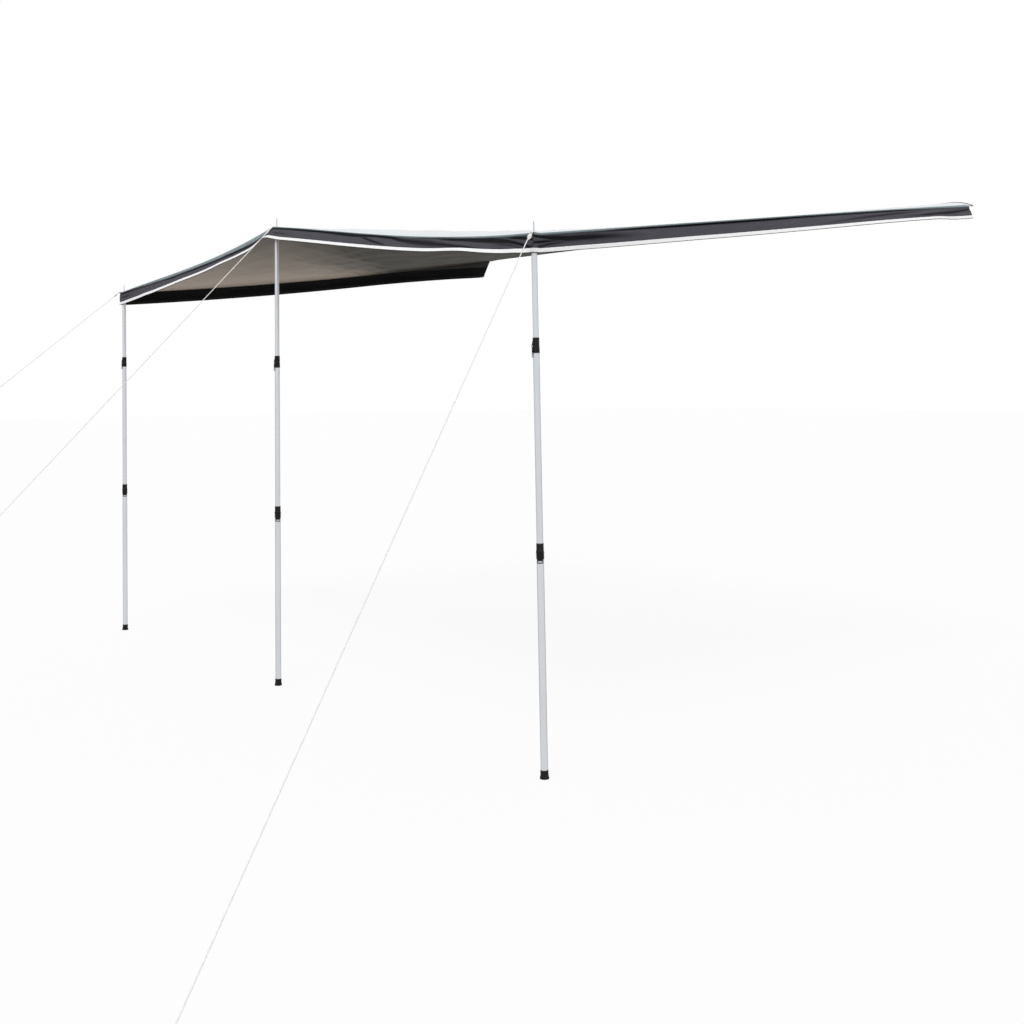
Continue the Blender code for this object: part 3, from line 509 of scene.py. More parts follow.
def make_roof():
    columns = round(2 * HALF_WIDTH / ROOF_CELL)
    rows = round((BACK_EDGE - FRONT_EDGE) / ROOF_CELL)

    def flat(column, row):
        return -HALF_WIDTH + 2 * HALF_WIDTH * column / columns, FRONT_EDGE + (BACK_EDGE - FRONT_EDGE) * row / rows

    def place(column, row):
        x, y = flat(column, row)
        return x, y, roof_z(x, y) + roof_folds(x, y)

    roof = show(thicken(cloth_grid("roof_sheet", columns, rows, place, flat), CLOTH))
    punches = []
    for side in SIDES:
        work = bmesh.new()
        size = {"radius1": EYELET_BARREL_R, "radius2": EYELET_BARREL_R, "depth": PUNCH_LENGTH}
        bmesh.ops.create_cone(work, cap_ends=True, segments=PUNCH_STEPS, **size)
        bmesh.ops.translate(work, verts=work.verts, vec=EYELETS[side])
        punches.append(show(object_of("punch", work)))
        punches[-1].data.shade_flat()
        roof.modifiers.new("Hole", "BOOLEAN").object = punches[-1]
    bpy.context.view_layer.update()
    cloth = bpy.data.meshes.new_from_object(roof.evaluated_get(bpy.context.evaluated_depsgraph_get()))
    cloth.name = "roof_sheet"
    for helper in (roof, *punches):
        bpy.data.objects.remove(helper)
    return piece(bpy.data.objects.new("roof_sheet", cloth), "roof_cloth", "roof")


roof_sheet = make_roof()
print("roof sheet:", len(roof_sheet.data.polygons), "faces")

# %% [markdown]
# ## The valances, their bindings and the rolled hem
#
# Each valance is a strip sewn to the roof's edge, which stands out a little. A roll of the light roof cloth covers
# the seam, where it is turned over, painted blue-grey as that cloth in shade, with a crease under it that is dented
# and painted dark as shade. Long creases run slanting down the cloth and gather at the pole corners. A strip function
# gives the CAD surface, to which creases and puckers are added. How deep a point lies in a crease is kept as an
# attribute, because the finish paints the creases dark as shade, while the folds keep the cloth's own dusty tone.

# %% The CAD strip of cloth that hangs from an edge
VALANCE_DROP = 0.061
LEFT_REAR_DROP = 0.108
REAR_DEEPENS = 1.1
BINDING = 0.0034
BINDING_DROP = 0.015
LEFT_END_CUT = 0.060
RIGHT_END_CUT = 0.022
RIGHT_END_SHORT = 0.040
END_REACH = 0.15
FOLDS_FADE = 0.10
FOLD_FULL_AT = 0.77
SEAM_OUT = GAP + VALANCE / 2

# How far a strip stands out from hanging straight: distance along it, degrees
FLARES = {
    "front_left": ((0.1, 0), (1.0, 22), (1.5, 27), (1.8, 25), (2.03, 42)),
    "front_right": ((0.0, 42), (0.15, 33), (1.4, 31), (1.65, 37), (2.0, 12), (2.1, 0)),
    "right_side": ((0.3, 0), (0.9, 12), (2.5, 37), (2.7, 28)),
    "left_side": ((0.0, 0), (2.8, 0)),
}
# Folds: distance along the strip, how far a fold leans over its depth, half width, depth of fold
FOLDS = {
    "front_left": (
        (0.35, 0.06, 0.080, 0.004), (0.95, 0.08, 0.120, 0.005), (1.55, -0.05, 0.100, 0.004),
    ),
    "front_right": (
        (0.55, 0.16, 0.060, 0.006), (0.85, 0.20, 0.070, 0.008), (1.30, 0.12, 0.110, 0.005),
        (1.70, 0.14, 0.060, 0.007), (1.93, -0.06, 0.050, 0.006),
    ),
    "right_side": (
        (0.16, 0.05, 0.060, 0.006), (0.45, 0.14, 0.100, 0.005), (1.35, 0.10, 0.160, 0.005),
        (2.30, 0.20, 0.120, 0.006),
    ),
    "left_side": (
        (0.50, 0.08, 0.120, 0.005), (1.40, 0.10, 0.160, 0.005), (2.20, 0.10, 0.120, 0.006),
    ),
}


class Strip:
    """One side's strip: where its seam runs, which way it faces and how it hangs."""

    def __init__(self, name, start_x, direction, outward, length, end_cut=0.0, deep_end=0.0):
        self.name, self.start = name, Vector((start_x, FRONT_EDGE, 0.0))
        self.direction, self.outward, self.length = direction, outward, length
        self.end_cut, self.deep_end = end_cut, deep_end

    def seam(self, along):
        return on_roof(self.start + self.direction * along)

    def drop(self, along):
        deeper = ramp((along - self.length + REAR_DEEPENS) / REAR_DEEPENS)
        return VALANCE_DROP + self.deep_end * deeper

    def fold_out(self, along, fall):
        """How far the folds push the cloth out."""
        ends = ramp(along / FOLDS_FADE) * ramp((self.length - along) / FOLDS_FADE)
        push = 0.0
        for at, lean, wide, depth in FOLDS[self.name]:
            push += depth * exp(-(((along - at - lean * fall) / wide) ** 2))
        return push * ends * sin(pi / 2 * min(fall / FOLD_FULL_AT, 1.0))

    def flare_at(self, along):
        return radians(along_list(along, FLARES[self.name]))

    def place(self, along, fall, below=0.0, out=0.0):
        """The point this share down the cloth, then below it, and out from its middle surface."""
        down = self.drop(along) * fall + below
        cut = self.end_cut * ramp((along - self.length + END_REACH) / END_REACH)
        cut *= down / (self.drop(self.length) + BINDING_DROP)
        angle = self.flare_at(along)
        aside = SEAM_OUT + down * sin(angle) + self.fold_out(along, fall) + out * cos(angle)
        fallen = down * cos(angle) - out * sin(angle)
        return self.seam(along) - self.direction * cut + self.outward * aside - UP * fallen


# %% The four strips
RIGHTWARD, FORWARD, INWARD = Vector((1.0, 0.0, 0.0)), Vector((0.0, -1.0, 0.0)), Vector((0.0, 1.0, 0.0))
SIDE_LENGTH = BACK_EDGE - FRONT_EDGE
STRIPS = (
    Strip("front_left", -HALF_WIDTH, RIGHTWARD, FORWARD, RIDGE_X + HALF_WIDTH),
    Strip("front_right", RIDGE_X, RIGHTWARD, FORWARD, HALF_WIDTH - RIDGE_X),
    Strip("right_side", HALF_WIDTH, INWARD, RIGHTWARD, SIDE_LENGTH, RIGHT_END_CUT),
    Strip("left_side", -HALF_WIDTH, INWARD, -RIGHTWARD, SIDE_LENGTH, LEFT_END_CUT, LEFT_REAR_DROP - VALANCE_DROP),
)
print("strips:", {strip.name: round(strip.length, 3) for strip in STRIPS})

# %% The creases, as the photograph shows them
# Each crease is a line of stops: centimetres along the strip, then its middle and its half width in per cent of
# the drop, and its strength in per cent
# The creases dent the cloth, and the valance finish paints them dark as shade
CREASES = {
    "front_left": (
        (
            (-1, 12, 9, 100), (10, 14, 11, 90), (20, 24, 11, 50), (62, 36, 9, 40), (80, 41, 9, 80), (120, 43, 11, 90),
            (132, 49, 12, 70), (150, 58, 12, 90), (166, 60, 11, 100), (178, 67, 12, 90), (190, 77, 11, 100),
            (203, 93, 9, 100),
        ),
        ((2, 53, 12, 30), (10, 58, 14, 50), (20, 62, 11, 20), (30, 64, 9, 0)),
    ),
    "front_right": (
        (
            (0, 20, 9, 60), (20, 14, 9, 70), (50, 14, 9, 100), (75, 22, 14, 90), (88, 20, 12, 90), (100, 14, 9, 90),
            (112, 19, 12, 100), (120, 37, 14, 90), (130, 46, 20, 80), (142, 53, 26, 70), (152, 64, 22, 60),
            (162, 78, 15, 70), (172, 88, 9, 80), (182, 98, 8, 0),
        ),
        ((84, 24, 6, 0), (92, 42, 9, 90), (98, 58, 9, 90), (105, 74, 8, 80), (112, 90, 8, 0)),
        (
            (144, 15, 6, 0), (156, 22, 9, 90), (166, 26, 12, 100), (178, 32, 17, 100), (188, 36, 18, 100),
            (196, 44, 14, 100), (202, 60, 11, 100), (207, 78, 9, 100), (211, 94, 8, 80),
        ),
        ((194, 16, 4, 0), (200, 24, 8, 90), (206, 30, 9, 90), (211, 42, 8, 80)),
        ((0, 60, 6, 0), (6, 60, 14, 40), (16, 66, 14, 30), (34, 74, 8, 0)),
        ((180, 58, 4, 0), (190, 60, 6, 40), (198, 72, 6, 50), (204, 90, 6, 40)),
    ),
    "right_side": (
        (
            (26, 16, 4, 0), (45, 14, 8, 50), (62, 13, 9, 80), (80, 13, 11, 100), (130, 13, 11, 100), (150, 13, 9, 80),
            (175, 14, 8, 60), (230, 13, 8, 60), (250, 18, 6, 20), (284, 24, 6, 0),
        ),
        (
            (0, 20, 8, 80), (4, 25, 8, 100), (10, 36, 14, 100), (17, 46, 18, 90), (30, 47, 20, 70), (40, 50, 17, 50),
            (60, 58, 12, 0),
        ),
        ((0, 62, 8, 70), (4, 56, 9, 90), (10, 54, 9, 50), (18, 66, 6, 0)),
        ((2, 88, 8, 60), (8, 74, 8, 60), (16, 66, 8, 30), (26, 66, 8, 0)),
        ((162, 82, 6, 0), (180, 70, 9, 30), (200, 55, 11, 50), (220, 43, 11, 50), (236, 36, 9, 40), (252, 27, 8, 0)),
        (
            (220, 74, 8, 0), (234, 74, 9, 30), (248, 70, 12, 70), (260, 62, 14, 70), (272, 50, 14, 60),
            (290, 28, 11, 50),
        ),
    ),
    "left_side": (
        ((0, 14, 8, 60), (150, 14, 8, 50), (288, 10, 6, 50)),
    ),
}
# Painted shade: a least crease depth that darkens the front strips all over, as if turned from the light
FRONT_PAINTED_SHADE = 0.09


def crease_depth(crease, along, fall):
    """0 to 1: how deep this place lies in one crease."""
    stops = [[value / 100 for value in stop] for stop in crease]
    for (before, *low), (after, *high) in zip(stops, stops[1:]):
        if before <= along <= after:
            share = (along - before) / (after - before)
            middle, half_width, strength = (a + (b - a) * share for a, b in zip(low, high))
            return strength * exp(-(((fall - middle) / half_width) ** 2))
    return 0.0


def valley_depth(strip, along, fall):
    """The depth in the deepest of the strip's creases; the front strips have a least depth all over, which paints
    them a little darker as shade and pushes them in a little.
    """
    front_shade = FRONT_PAINTED_SHADE if strip.name.startswith("front") else 0.0
    return max(front_shade, *(crease_depth(crease, along, fall) for crease in CREASES[strip.name]))


# %% A mesh along a strip
STRIP_CELL = 0.006


def strip_grid(strip, kind, start, end, rows, place, flat, valley=None, tube=False):
    """A grid along a strip, from functions of the distance along it and the row."""
    columns = round((end - start) / STRIP_CELL)

    def by_column(function):
        return function and (lambda column, row: function(start + (end - start) * column / columns, row))

    by_columns = [by_column(function) for function in (place, flat, valley)]
    return cloth_grid(f"{strip.name}_{kind}", columns, rows, *by_columns, tube)


# %% The valance cloth and its binding
VALANCE_ROWS = 30
TAPE_STEPS = 14
TAPE_UP = 0.003  # the binding grips the valance's foot by this much
PUCKER = 0.0007
PUCKER_FADE = 5  # the puckers reach over a fifth of the drop
PUCKER_GRAIN = (70, 3)  # along the strip for each metre, and down it for each drop
CREASE_IN = 0.0045
CREASE_PUFF = 0.0012  # how far the cloth swells between its creases
CREASE_RISE = 8  # a crease is flat where it meets the binding, and deep this steeply above it
SOFT = 0.0012
SOFT_GRAIN = (9, 2)
VALANCE_SHEET = 0.8 * VALANCE
TAPE_SQUARE = 0.45  # 1 would make the tape's section an ellipse, 0 a rectangle
TAPE_WAVE = 0.0005
TAPE_GRAIN = 60


def pucker(along, fall, seed):
    """The fine unevenness that a row of stitches gives the cloth, strongest at the seam and at the foot."""
    near = max(1 - PUCKER_FADE * fall, 0.0) + max(1 - PUCKER_FADE * (1 - fall), 0.0)
    return PUCKER * near * uneven(PUCKER_GRAIN[0] * along, PUCKER_GRAIN[1] * fall, seed)


def make_valance(strip, start, end):
    def flat(along, row):
        return along, strip.drop(along) * (row / VALANCE_ROWS - 1) + VALANCE_DROP

    def valley(along, row):
        return valley_depth(strip, along, row / VALANCE_ROWS)

    def place(along, row):
        fall = row / VALANCE_ROWS
        belly = sin(pi * fall)
        soft = SOFT * uneven(SOFT_GRAIN[0] * along, SOFT_GRAIN[1] * fall, seed=strip.length) * belly
        crease = CREASE_PUFF * belly - CREASE_IN * valley(along, row) * min(CREASE_RISE * (1 - fall), 1.0)
        return strip.place(along, fall, out=pucker(along, fall, seed=1.0) + soft + crease)

    cloth = strip_grid(strip, "cloth", start, end, VALANCE_ROWS, place, flat, valley)
    return piece(thicken(cloth, VALANCE_SHEET), "valance_cloth", f"{strip.name}_valance")


def make_binding(strip, start, end):
    """A tape folded over the foot of the valance: a flat rounded section that follows the strip."""
    tall, thick = (BINDING_DROP + TAPE_UP) / 2, BINDING / 2

    def section(row):
        turn = 2 * pi * row / TAPE_STEPS
        down, out = (copysign(abs(part) ** TAPE_SQUARE, part) for part in (cos(turn), sin(turn)))
        return tall * down, thick * out

    def place(along, row):
        down, out = section(row)
        wave = TAPE_WAVE * uneven(TAPE_GRAIN * along, 0.0, seed=7.0)
        return strip.place(along, 1.0, GAP - TAPE_UP + tall + down, out + wave)

    def flat(along, row):
        return along, section(row)[0] + tall

    tape = strip_grid(strip, "tape", start, end, TAPE_STEPS, place, flat, tube=True)
    return piece(tape, "binding_tape", f"{strip.name}_binding")


# %% Cut the strips and bind them
def trims(thickness, side_start):
    """Where each strip's cloth or tape starts, and how far before its seam's end it stops."""
    over = SEAM_OUT + thickness / 2  # a front strip covers the end of the side strip
    return {
        "front_left": (-over, GAP),
        "front_right": (GAP, -over),
        "right_side": (side_start, RIGHT_END_SHORT),
        "left_side": (side_start, 0.0),
    }


TRIMS = trims(VALANCE, 0.0)
TAPE_TRIMS = trims(BINDING, GAP)
for strip in STRIPS:
    first, last = TRIMS[strip.name]
    length = strip.length - last
    cloth = make_valance(strip, first, length)
    first, last = TAPE_TRIMS[strip.name]
    tape = make_binding(strip, first, strip.length - last)
    flat = (length, strip.drop(length))
    area = length * VALANCE_DROP + strip.deep_end * REAR_DEEPENS / 3
    print(f"{strip.name}: {len(cloth.data.polygons)} faces of cloth, {len(tape.data.polygons)} of tape")

# %% The rolled hem that covers the seam
HEM_ON_ROOF = 0.016
HEM_ROLL = 0.0036
HEM_CLEAR = 0.0140  # the hem keeps this far from the middle of an eyelet
MITRE_LEAST = 0.0005
HEM_STEPS = 12
HEM_FLAT_STEPS = 4  # the first of them lie on the roof
HEM_LIFT = 0.0012
HEM_OFF = 0.0006  # between the valance's face and the hem's middle surface
HEM_SHEET = 0.0008
HEM_WAVE = 0.0006
HEM_GRAIN = (50, 0.4)  # for each metre along the hem, and for each row
HEM_FULLNESS = 0.7  # below 1 the roll is fuller than a plain arch
# How far down the strip the hem reaches: distance along it, share of the drop
HEM_REACH = {
    "front_left": (
        (0.0, 0.07), (0.15, 0.09), (0.5, 0.22), (0.8, 0.31), (1.2, 0.33), (1.5, 0.44), (1.8, 0.52), (1.97, 0.66),
        (2.03, 0.50),
    ),
    "front_right": ((0.0, 0.10), (0.3, 0.06), (1.0, 0.08), (1.2, 0.13), (1.5, 0.10), (1.7, 0.15), (2.1, 0.13)),
    "right_side": ((0.0, 0.12), (0.3, 0.11), (0.5, 0.08), (2.2, 0.08), (2.5, 0.13), (2.8, 0.13)),
    "left_side": ((0.0, 0.10), (2.9, 0.06)),
}


def hem_back(strip, along):
    """How far the hem reaches in over the roof: mitred at the corners and cut round the eyelets."""
    at = strip.seam(along)
    mitre = HALF_WIDTH - abs(at.x) + at.y - FRONT_EDGE
    reach = min(HEM_ON_ROOF, mitre + MITRE_LEAST)
    for eyelet in EYELETS.values():
        aside = (eyelet - at).dot(strip.direction)
        if abs(aside) < HEM_CLEAR:
            inward = (at - eyelet).dot(strip.outward)
            reach = min(reach, inward - sqrt(HEM_CLEAR**2 - aside**2))
    return reach


def hem_section(strip, along, row):
    """The hem's section: flat on the roof, over the edge, and a soft roll down to the crease."""
    if row < HEM_FLAT_STEPS:
        back = hem_back(strip, along) * (1 - row / HEM_FLAT_STEPS)
        lift = HEM_LIFT * min(1.0, 2 * row / HEM_FLAT_STEPS)
        return on_roof(strip.seam(along) - strip.outward * back, lift)
    share = (row - HEM_FLAT_STEPS) / (HEM_STEPS - HEM_FLAT_STEPS)
    roll = VALANCE / 2 + HEM_OFF + HEM_ROLL * sin(pi * share) ** HEM_FULLNESS
    return strip.place(along, along_list(along, HEM_REACH[strip.name]) * share, out=roll)


def make_hem(strip):
    def flat(along, row):
        return along, 2 * HEM_ON_ROOF * row / HEM_STEPS

    def place(along, row):
        wave = HEM_WAVE * uneven(HEM_GRAIN[0] * along, HEM_GRAIN[1] * row, seed=3.0)
        return hem_section(strip, along, row) + strip.outward * wave

    length = strip.length - max(TRIMS[strip.name][1], 0.0)
    hem = strip_grid(strip, "hem", 0.0, length, HEM_STEPS, place, flat)
    return piece(thicken(hem, HEM_SHEET), "hem_cloth")


HEMS = [make_hem(strip) for strip in STRIPS]
print("hems:", [hem.name for hem in HEMS])

# %% [markdown]
# ## The bead for the awning rail
#
# The rear edge is sewn round a plastic cord, the bead, that slides in the caravan's rail. It follows the roof's
# rear edge, so a round bar along that line is all it needs.

# %% The bead
BEAD_STEPS = 120
ends = HALF_WIDTH - BEAD_R
bead_line = [Vector((-ends + 2 * ends * step / BEAD_STEPS, 0.0, 0.0)) for step in range(BEAD_STEPS + 1)]
for point in bead_line:
    point.z = roof_z(point.x, BACK_EDGE)
piece(round_bar("welt_bead", bead_line, BEAD_R, sides=6), "welt", "rail_bead")
print("bead:", round(line_length(bead_line), 3), "m")

# %% [markdown]
# ## Turned pieces: eyelets, spigots, tubes and feet
#
# All of these are round, so each is a profile of a few points spun about its axis. A bevel then rounds the
# edges, because bright metal shows its edges as thin highlights.


# %% A profile spun about an axis
def spun(name, profile, closed, bevel, place, steps=64):
    """A profile of (radius, height) points spun about Z, its edges rounded, then set in its place."""
    work = bmesh.new()
    points = [work.verts.new((radius, 0.0, height)) for radius, height in profile]
    pairs = list(zip(points, points[1:])) + ([(points[-1], points[0])] if closed else [])
    edges = [work.edges.new(pair) for pair in pairs]
    round_z = {"axis": UP, "cent": UP * 0.0, "angle": 2 * pi}
    bmesh.ops.spin(work, geom=points + edges, steps=steps, use_merge=True, **round_z)
    bmesh.ops.remove_doubles(work, verts=work.verts, dist=WELD / 10)
    bmesh.ops.recalc_face_normals(work, faces=work.faces)
    work.transform(place)
    obj = object_of(name, work)
    obj.data.set_sharp_from_angle(angle=radians(ROUND_FROM))
    if bevel:
        round_edges(obj, bevel)
    return obj


# %% The axis of each pole
class Pole:
    """A pole's pivot and axis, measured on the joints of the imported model."""

    def __init__(self, side):
        self.side = side
        self.up = Vector(JOINTS[f"{side}_upper_slide"]["axis"]).normalized()
        self.pivot = Vector(JOINTS[f"{side}_pole_tilt"]["pos_m"])
        lean = UP.rotation_difference(self.up).to_matrix().to_4x4()
        self.place = Matrix.Translation(self.pivot) @ lean

    def measure(self, name):
        """(lowest, highest, radius) of one of the pole's CAD nodes, along and about its axis."""
        heights, radii = [], []
        for vertex in frame["nodes"][f"{self.side}_{name}"].data.vertices:
            off = vertex.co - self.pivot
            heights.append(off.dot(self.up))
            radii.append((off - self.up * heights[-1]).length)
        return min(heights), max(heights), max(radii)


POLES = {side: Pole(side) for side in SIDES}
print("poles lean", {side: round(degrees(pole.up.angle(UP)), 2) for side, pole in POLES.items()})

# %% The tubes
TUBE_WALL = 0.0012
METAL_EDGE = 0.0003

for side, pole in POLES.items():
    for part in ("top", "middle", "bottom"):
        low, high, radius = pole.measure(f"{part}_tube")
        ring = [(radius - TUBE_WALL, high), (radius, high), (radius, low), (radius - TUBE_WALL, low)]
        tube = spun(f"{side}_{part}_tube_drawn", ring, True, METAL_EDGE, pole.place)
        piece(tube, "aluminium", f"{side}_{part}_tube", body=f"{side}_pole_{part}")
    print(f"{side} tubes, the widest {2000 * radius:.1f} mm across")

# %% The spigots
TOP_TUBE_R = 0.0110
PLUG_FLANGE = 0.003
PLUG_LENGTH = 0.035
DOME_STEPS = 10
TIP_STEPS = 5
TIP_HEIGHT = 0.7  # of the pin's radius


def spigot_profile(tip):
    """A pin with a rounded tip on a domed plug that fills the end of the top tube."""
    plug_r = TOP_TUBE_R - TUBE_WALL - GAP
    dome_from = acos(SPIGOT_R / TOP_TUBE_R)
    profile = [(0.0, tip)]
    for step in range(1, TIP_STEPS + 1):
        turn = pi / 2 * step / TIP_STEPS
        profile.append((SPIGOT_R * sin(turn), tip - SPIGOT_R * (1 - cos(turn)) * TIP_HEIGHT))
    for step in range(DOME_STEPS + 1):
        turn = dome_from * (1 - step / DOME_STEPS)
        profile.append((TOP_TUBE_R * cos(turn), TOP_TUBE_R * sin(turn)))
    profile += [(TOP_TUBE_R, -PLUG_FLANGE), (plug_r, -PLUG_FLANGE), (plug_r, -PLUG_LENGTH), (0.0, -PLUG_LENGTH)]
    return profile


for side, pole in POLES.items():
    tip = pole.measure("spigot")[1]
    spigot = spun(f"{side}_spigot_pin", spigot_profile(tip), False, METAL_EDGE, pole.place)
    piece(spigot, "zinc_steel", f"{side}_spigot", body=f"{side}_pole_top")
print("spigots stand", round(tip, 3), "m above the pivot")

# %% The rubber feet
FOOT_HEIGHT = 0.034
FOOT_FLOOR = 0.005
FOOT_WALL = 0.0014
FOOT_FLARE_R = 0.0185
FOOT_FLARE_TOP = 0.0187
FOOT_GROOVES = 3
GROOVE = 0.0007
FLARE_STEPS = 4
FLARE_CURVE = 1.6
FOOT_EDGE = 0.0002


def foot_profile(tube_r):
    """A cup with a soft lip, a flared sole and three grip grooves."""
    inner = tube_r + GAP
    outer = inner + FOOT_WALL
    profile = [(0.0, FOOT_FLOOR), (inner, FOOT_FLOOR), (inner, FOOT_HEIGHT), (outer - FOOT_WALL / 3, FOOT_HEIGHT)]
    profile.append((outer, FOOT_HEIGHT - FOOT_WALL))
    pitch = (FOOT_HEIGHT - FOOT_WALL - FOOT_FLARE_TOP) / (FOOT_GROOVES + 1)
    for number in range(1, FOOT_GROOVES + 1):
        height = FOOT_HEIGHT - FOOT_WALL - pitch * number
        profile += [(outer, height + GROOVE), (outer - GROOVE / 2, height), (outer, height - GROOVE)]
    profile.append((outer, FOOT_FLARE_TOP))
    for step in range(1, FLARE_STEPS + 1):
        share = step / FLARE_STEPS
        height = FOOT_FLARE_TOP + (FOOT_FLOOR - FOOT_FLARE_TOP) * share
        profile.append((outer + (FOOT_FLARE_R - outer) * share**FLARE_CURVE, height))
    profile += [(FOOT_FLARE_R, FOOT_FLOOR / 2), (FOOT_FLARE_R - FOOT_WALL / 2, 0.0), (0.0, 0.0)]
    return profile


for side, pole in POLES.items():
    foot_low = pole.measure("foot")[0]
    profile = foot_profile(pole.measure("bottom_tube")[2])
    stand = pole.place @ Matrix.Translation(UP * foot_low)
    foot = spun(f"{side}_rubber_foot", profile, False, FOOT_EDGE, stand)
    piece(foot, "foot_rubber", f"{side}_foot", body=f"{side}_pole_bottom")
print("feet at", round(foot_low, 3), "m below the pivot")

# %% The eyelets
EYELET_FLANGE_R = 0.0130
CROWN_STEPS = 6
CROWN_CURVE = 0.6
EYELET_STEPS = 48


def eyelet_profile():
    """Two rolled flanges on a barrel, as a pressed eyelet has."""
    grip = CLOTH / 2 + GAP / 2
    crown = EYELET_HALF - grip
    middle, spread = (EYELET_HOLE_R + EYELET_FLANGE_R) / 2, (EYELET_FLANGE_R - EYELET_HOLE_R) / 2
    turns = [pi * step / CROWN_STEPS for step in range(CROWN_STEPS + 1)]
    half = [(middle - spread * cos(turn), grip + crown * sin(turn) ** CROWN_CURVE) for turn in turns]
    upper = half + [(EYELET_BARREL_R, grip)]
    lower = [(radius, -height) for radius, height in reversed(upper)]
    return upper + lower


for side in SIDES:
    place = Matrix.Translation(EYELETS[side])
    ring = spun(f"{side}_pressed_eyelet", eyelet_profile(), True, 0.0, place, EYELET_STEPS)
    piece(ring, "eyelet_metal", f"{side}_eyelet")
print("eyelets:", 2000 * EYELET_FLANGE_R, "mm across")

# %% [markdown]
# ## The cam clamps
#
# A clamp is a moulded collar with a lever whose cam presses on the inner tube. The CAD solids already have the
# true shape with the window, the pin hole and the finger slot, so a copy of each gets its edges rounded.

# %% Collars and levers
COLLAR_EDGE = 0.0004
LEVER_EDGE = 0.0005

for side in SIDES:
    for level, body in (("upper", "middle"), ("lower", "bottom")):
        moulded(f"{side}_{level}_clamp_collar", COLLAR_EDGE, "clamp_plastic", f"{side}_pole_{body}")
        moulded(f"{side}_{level}_clamp_lever", LEVER_EDGE, "clamp_plastic", f"{side}_{level}_lever")
print("clamps:", 2 * len(SIDES))

# %% [markdown]
# ## Finishes
#
# Each finish is one Principled shader. Its patterns are written as sums and products of wires, one wire for each
# socket, so that a weave reads as the formula that it is.


# %% Shader maths
def plug(tree, sockets, values):
    """Links each wire to its socket, and sets each plain value on its own."""
    for name, value in values.items():
        if isinstance(value, Wire):
            tree.links.new(value.socket, sockets[name])
        else:
            sockets[name].default_value = value


class Wire:
    """One socket of a shader; sums and products of wires add Math nodes."""

    def __init__(self, tree, socket):
        self.tree = tree
        self.socket = socket

    def node(self, kind, settings, sockets, output=0):
        """A node of this kind, its settings first and then its sockets, and the wire of one output."""
        made_node = self.tree.nodes.new(kind)
        for name, value in settings.items():
            setattr(made_node, name, value)
        plug(self.tree, made_node.inputs, sockets)
        return Wire(self.tree, made_node.outputs[output])

    def math(self, operation, other=0.0):
        return self.node("ShaderNodeMath", {"operation": operation}, {0: self, 1: other})

    def __add__(self, other):
        return self.math("ADD", other)

    def __mul__(self, other):
        return self.math("MULTIPLY", other)

    def __sub__(self, other):
        return self.math("SUBTRACT", other)

    def wave(self, length):
        """A sine wave of this length."""
        return (self * (2 * pi / length)).math("SINE")

    def axis(self, name):
        return self.node("ShaderNodeSeparateXYZ", {}, {"Vector": self}, name)

    def stretched(self, scale):
        return self.node("ShaderNodeMapping", {}, {"Vector": self, "Scale": scale})

    def between(self, low, high):
        """From low where this is 0 to high where it is 1."""
        return self * (high - low) + low

    def noise(self, scale, detail=2.0):
        return self.node("ShaderNodeTexNoise", {}, {"Vector": self, "Scale": scale, "Detail": detail})

    def ramp(self, low, high):
        """0 up to low, and 1 from high on."""
        wire = self.node("ShaderNodeValToRGB", {}, {"Fac": self})
        for stop, position in zip(wire.socket.node.color_ramp.elements, (low, high)):
            stop.position = position
        return wire

    def mix(self, low, high):
        """The colour low where this is 0 and high where it is 1; 6 and 7 are the node's colour sockets."""
        low, high = (shade if isinstance(shade, Wire) else (*shade, 1.0) for shade in (low, high))
        return self.node("ShaderNodeMix", {"data_type": "RGBA"}, {0: self, 6: low, 7: high}, 2)


def shades(colour, *shares):
    """The colour at each of these shares of its brightness."""
    return [[share * part for part in colour] for share in shares]


FINISHES = {}


class Finish:
    """A material with one Principled shader, and the coordinates that its patterns read."""

    def __init__(self, name, **values):
        FINISHES[name] = bpy.data.materials.new(name)
        FINISHES[name].use_nodes = True
        self.tree = FINISHES[name].node_tree
        self.shader = self.tree.nodes["Principled BSDF"]
        self.feed(**values)
        self.object = self.source("ShaderNodeTexCoord", "Object")
        self.uv = self.source("ShaderNodeTexCoord", "UV")

    def source(self, kind, output):
        return Wire(self.tree, self.tree.nodes.new(kind).outputs[output])

    def feed(self, **values):
        """Gives the shader's sockets wires or values."""
        plug(self.tree, self.shader.inputs, {name.replace("_", " "): value for name, value in values.items()})

    def outward(self):
        """1 on the outer side of what hangs from the roof's edge, 0 on its inner side."""
        normal = self.source("ShaderNodeNewGeometry", "Normal")
        middle = -FRONT_EDGE / 2
        sideways = normal.axis("X") * self.object.axis("X") * (1 / HALF_WIDTH)
        forward = normal.axis("Y") * (self.object.axis("Y") + middle) * (1 / middle)
        return (sideways + forward).math("GREATER_THAN", 0.0)

    def bump(self, height, depth):
        """Lets a height pattern tilt the surface, as if it were so many metres deep."""
        self.feed(Normal=height.node("ShaderNodeBump", {}, {"Height": height, "Distance": depth}))


# %% [markdown]
# ## Cloth finishes
#
# The roof is one coated polyester, painted near white above as sunlit and taupe below as in shade. The valance is a
# dark woven cloth, and the binding a ribbed white tape. All three read their flat UV map, which is in metres, so that
# the weave has its real pitch and follows every fold.

# %% A plain weave
THREAD = 0.0009


def weave(uv):
    """0 to 1 over the crossing threads of a plain weave."""
    return uv.axis("X").wave(2 * THREAD) * uv.axis("Y").wave(2 * THREAD) * 0.5 + 0.5
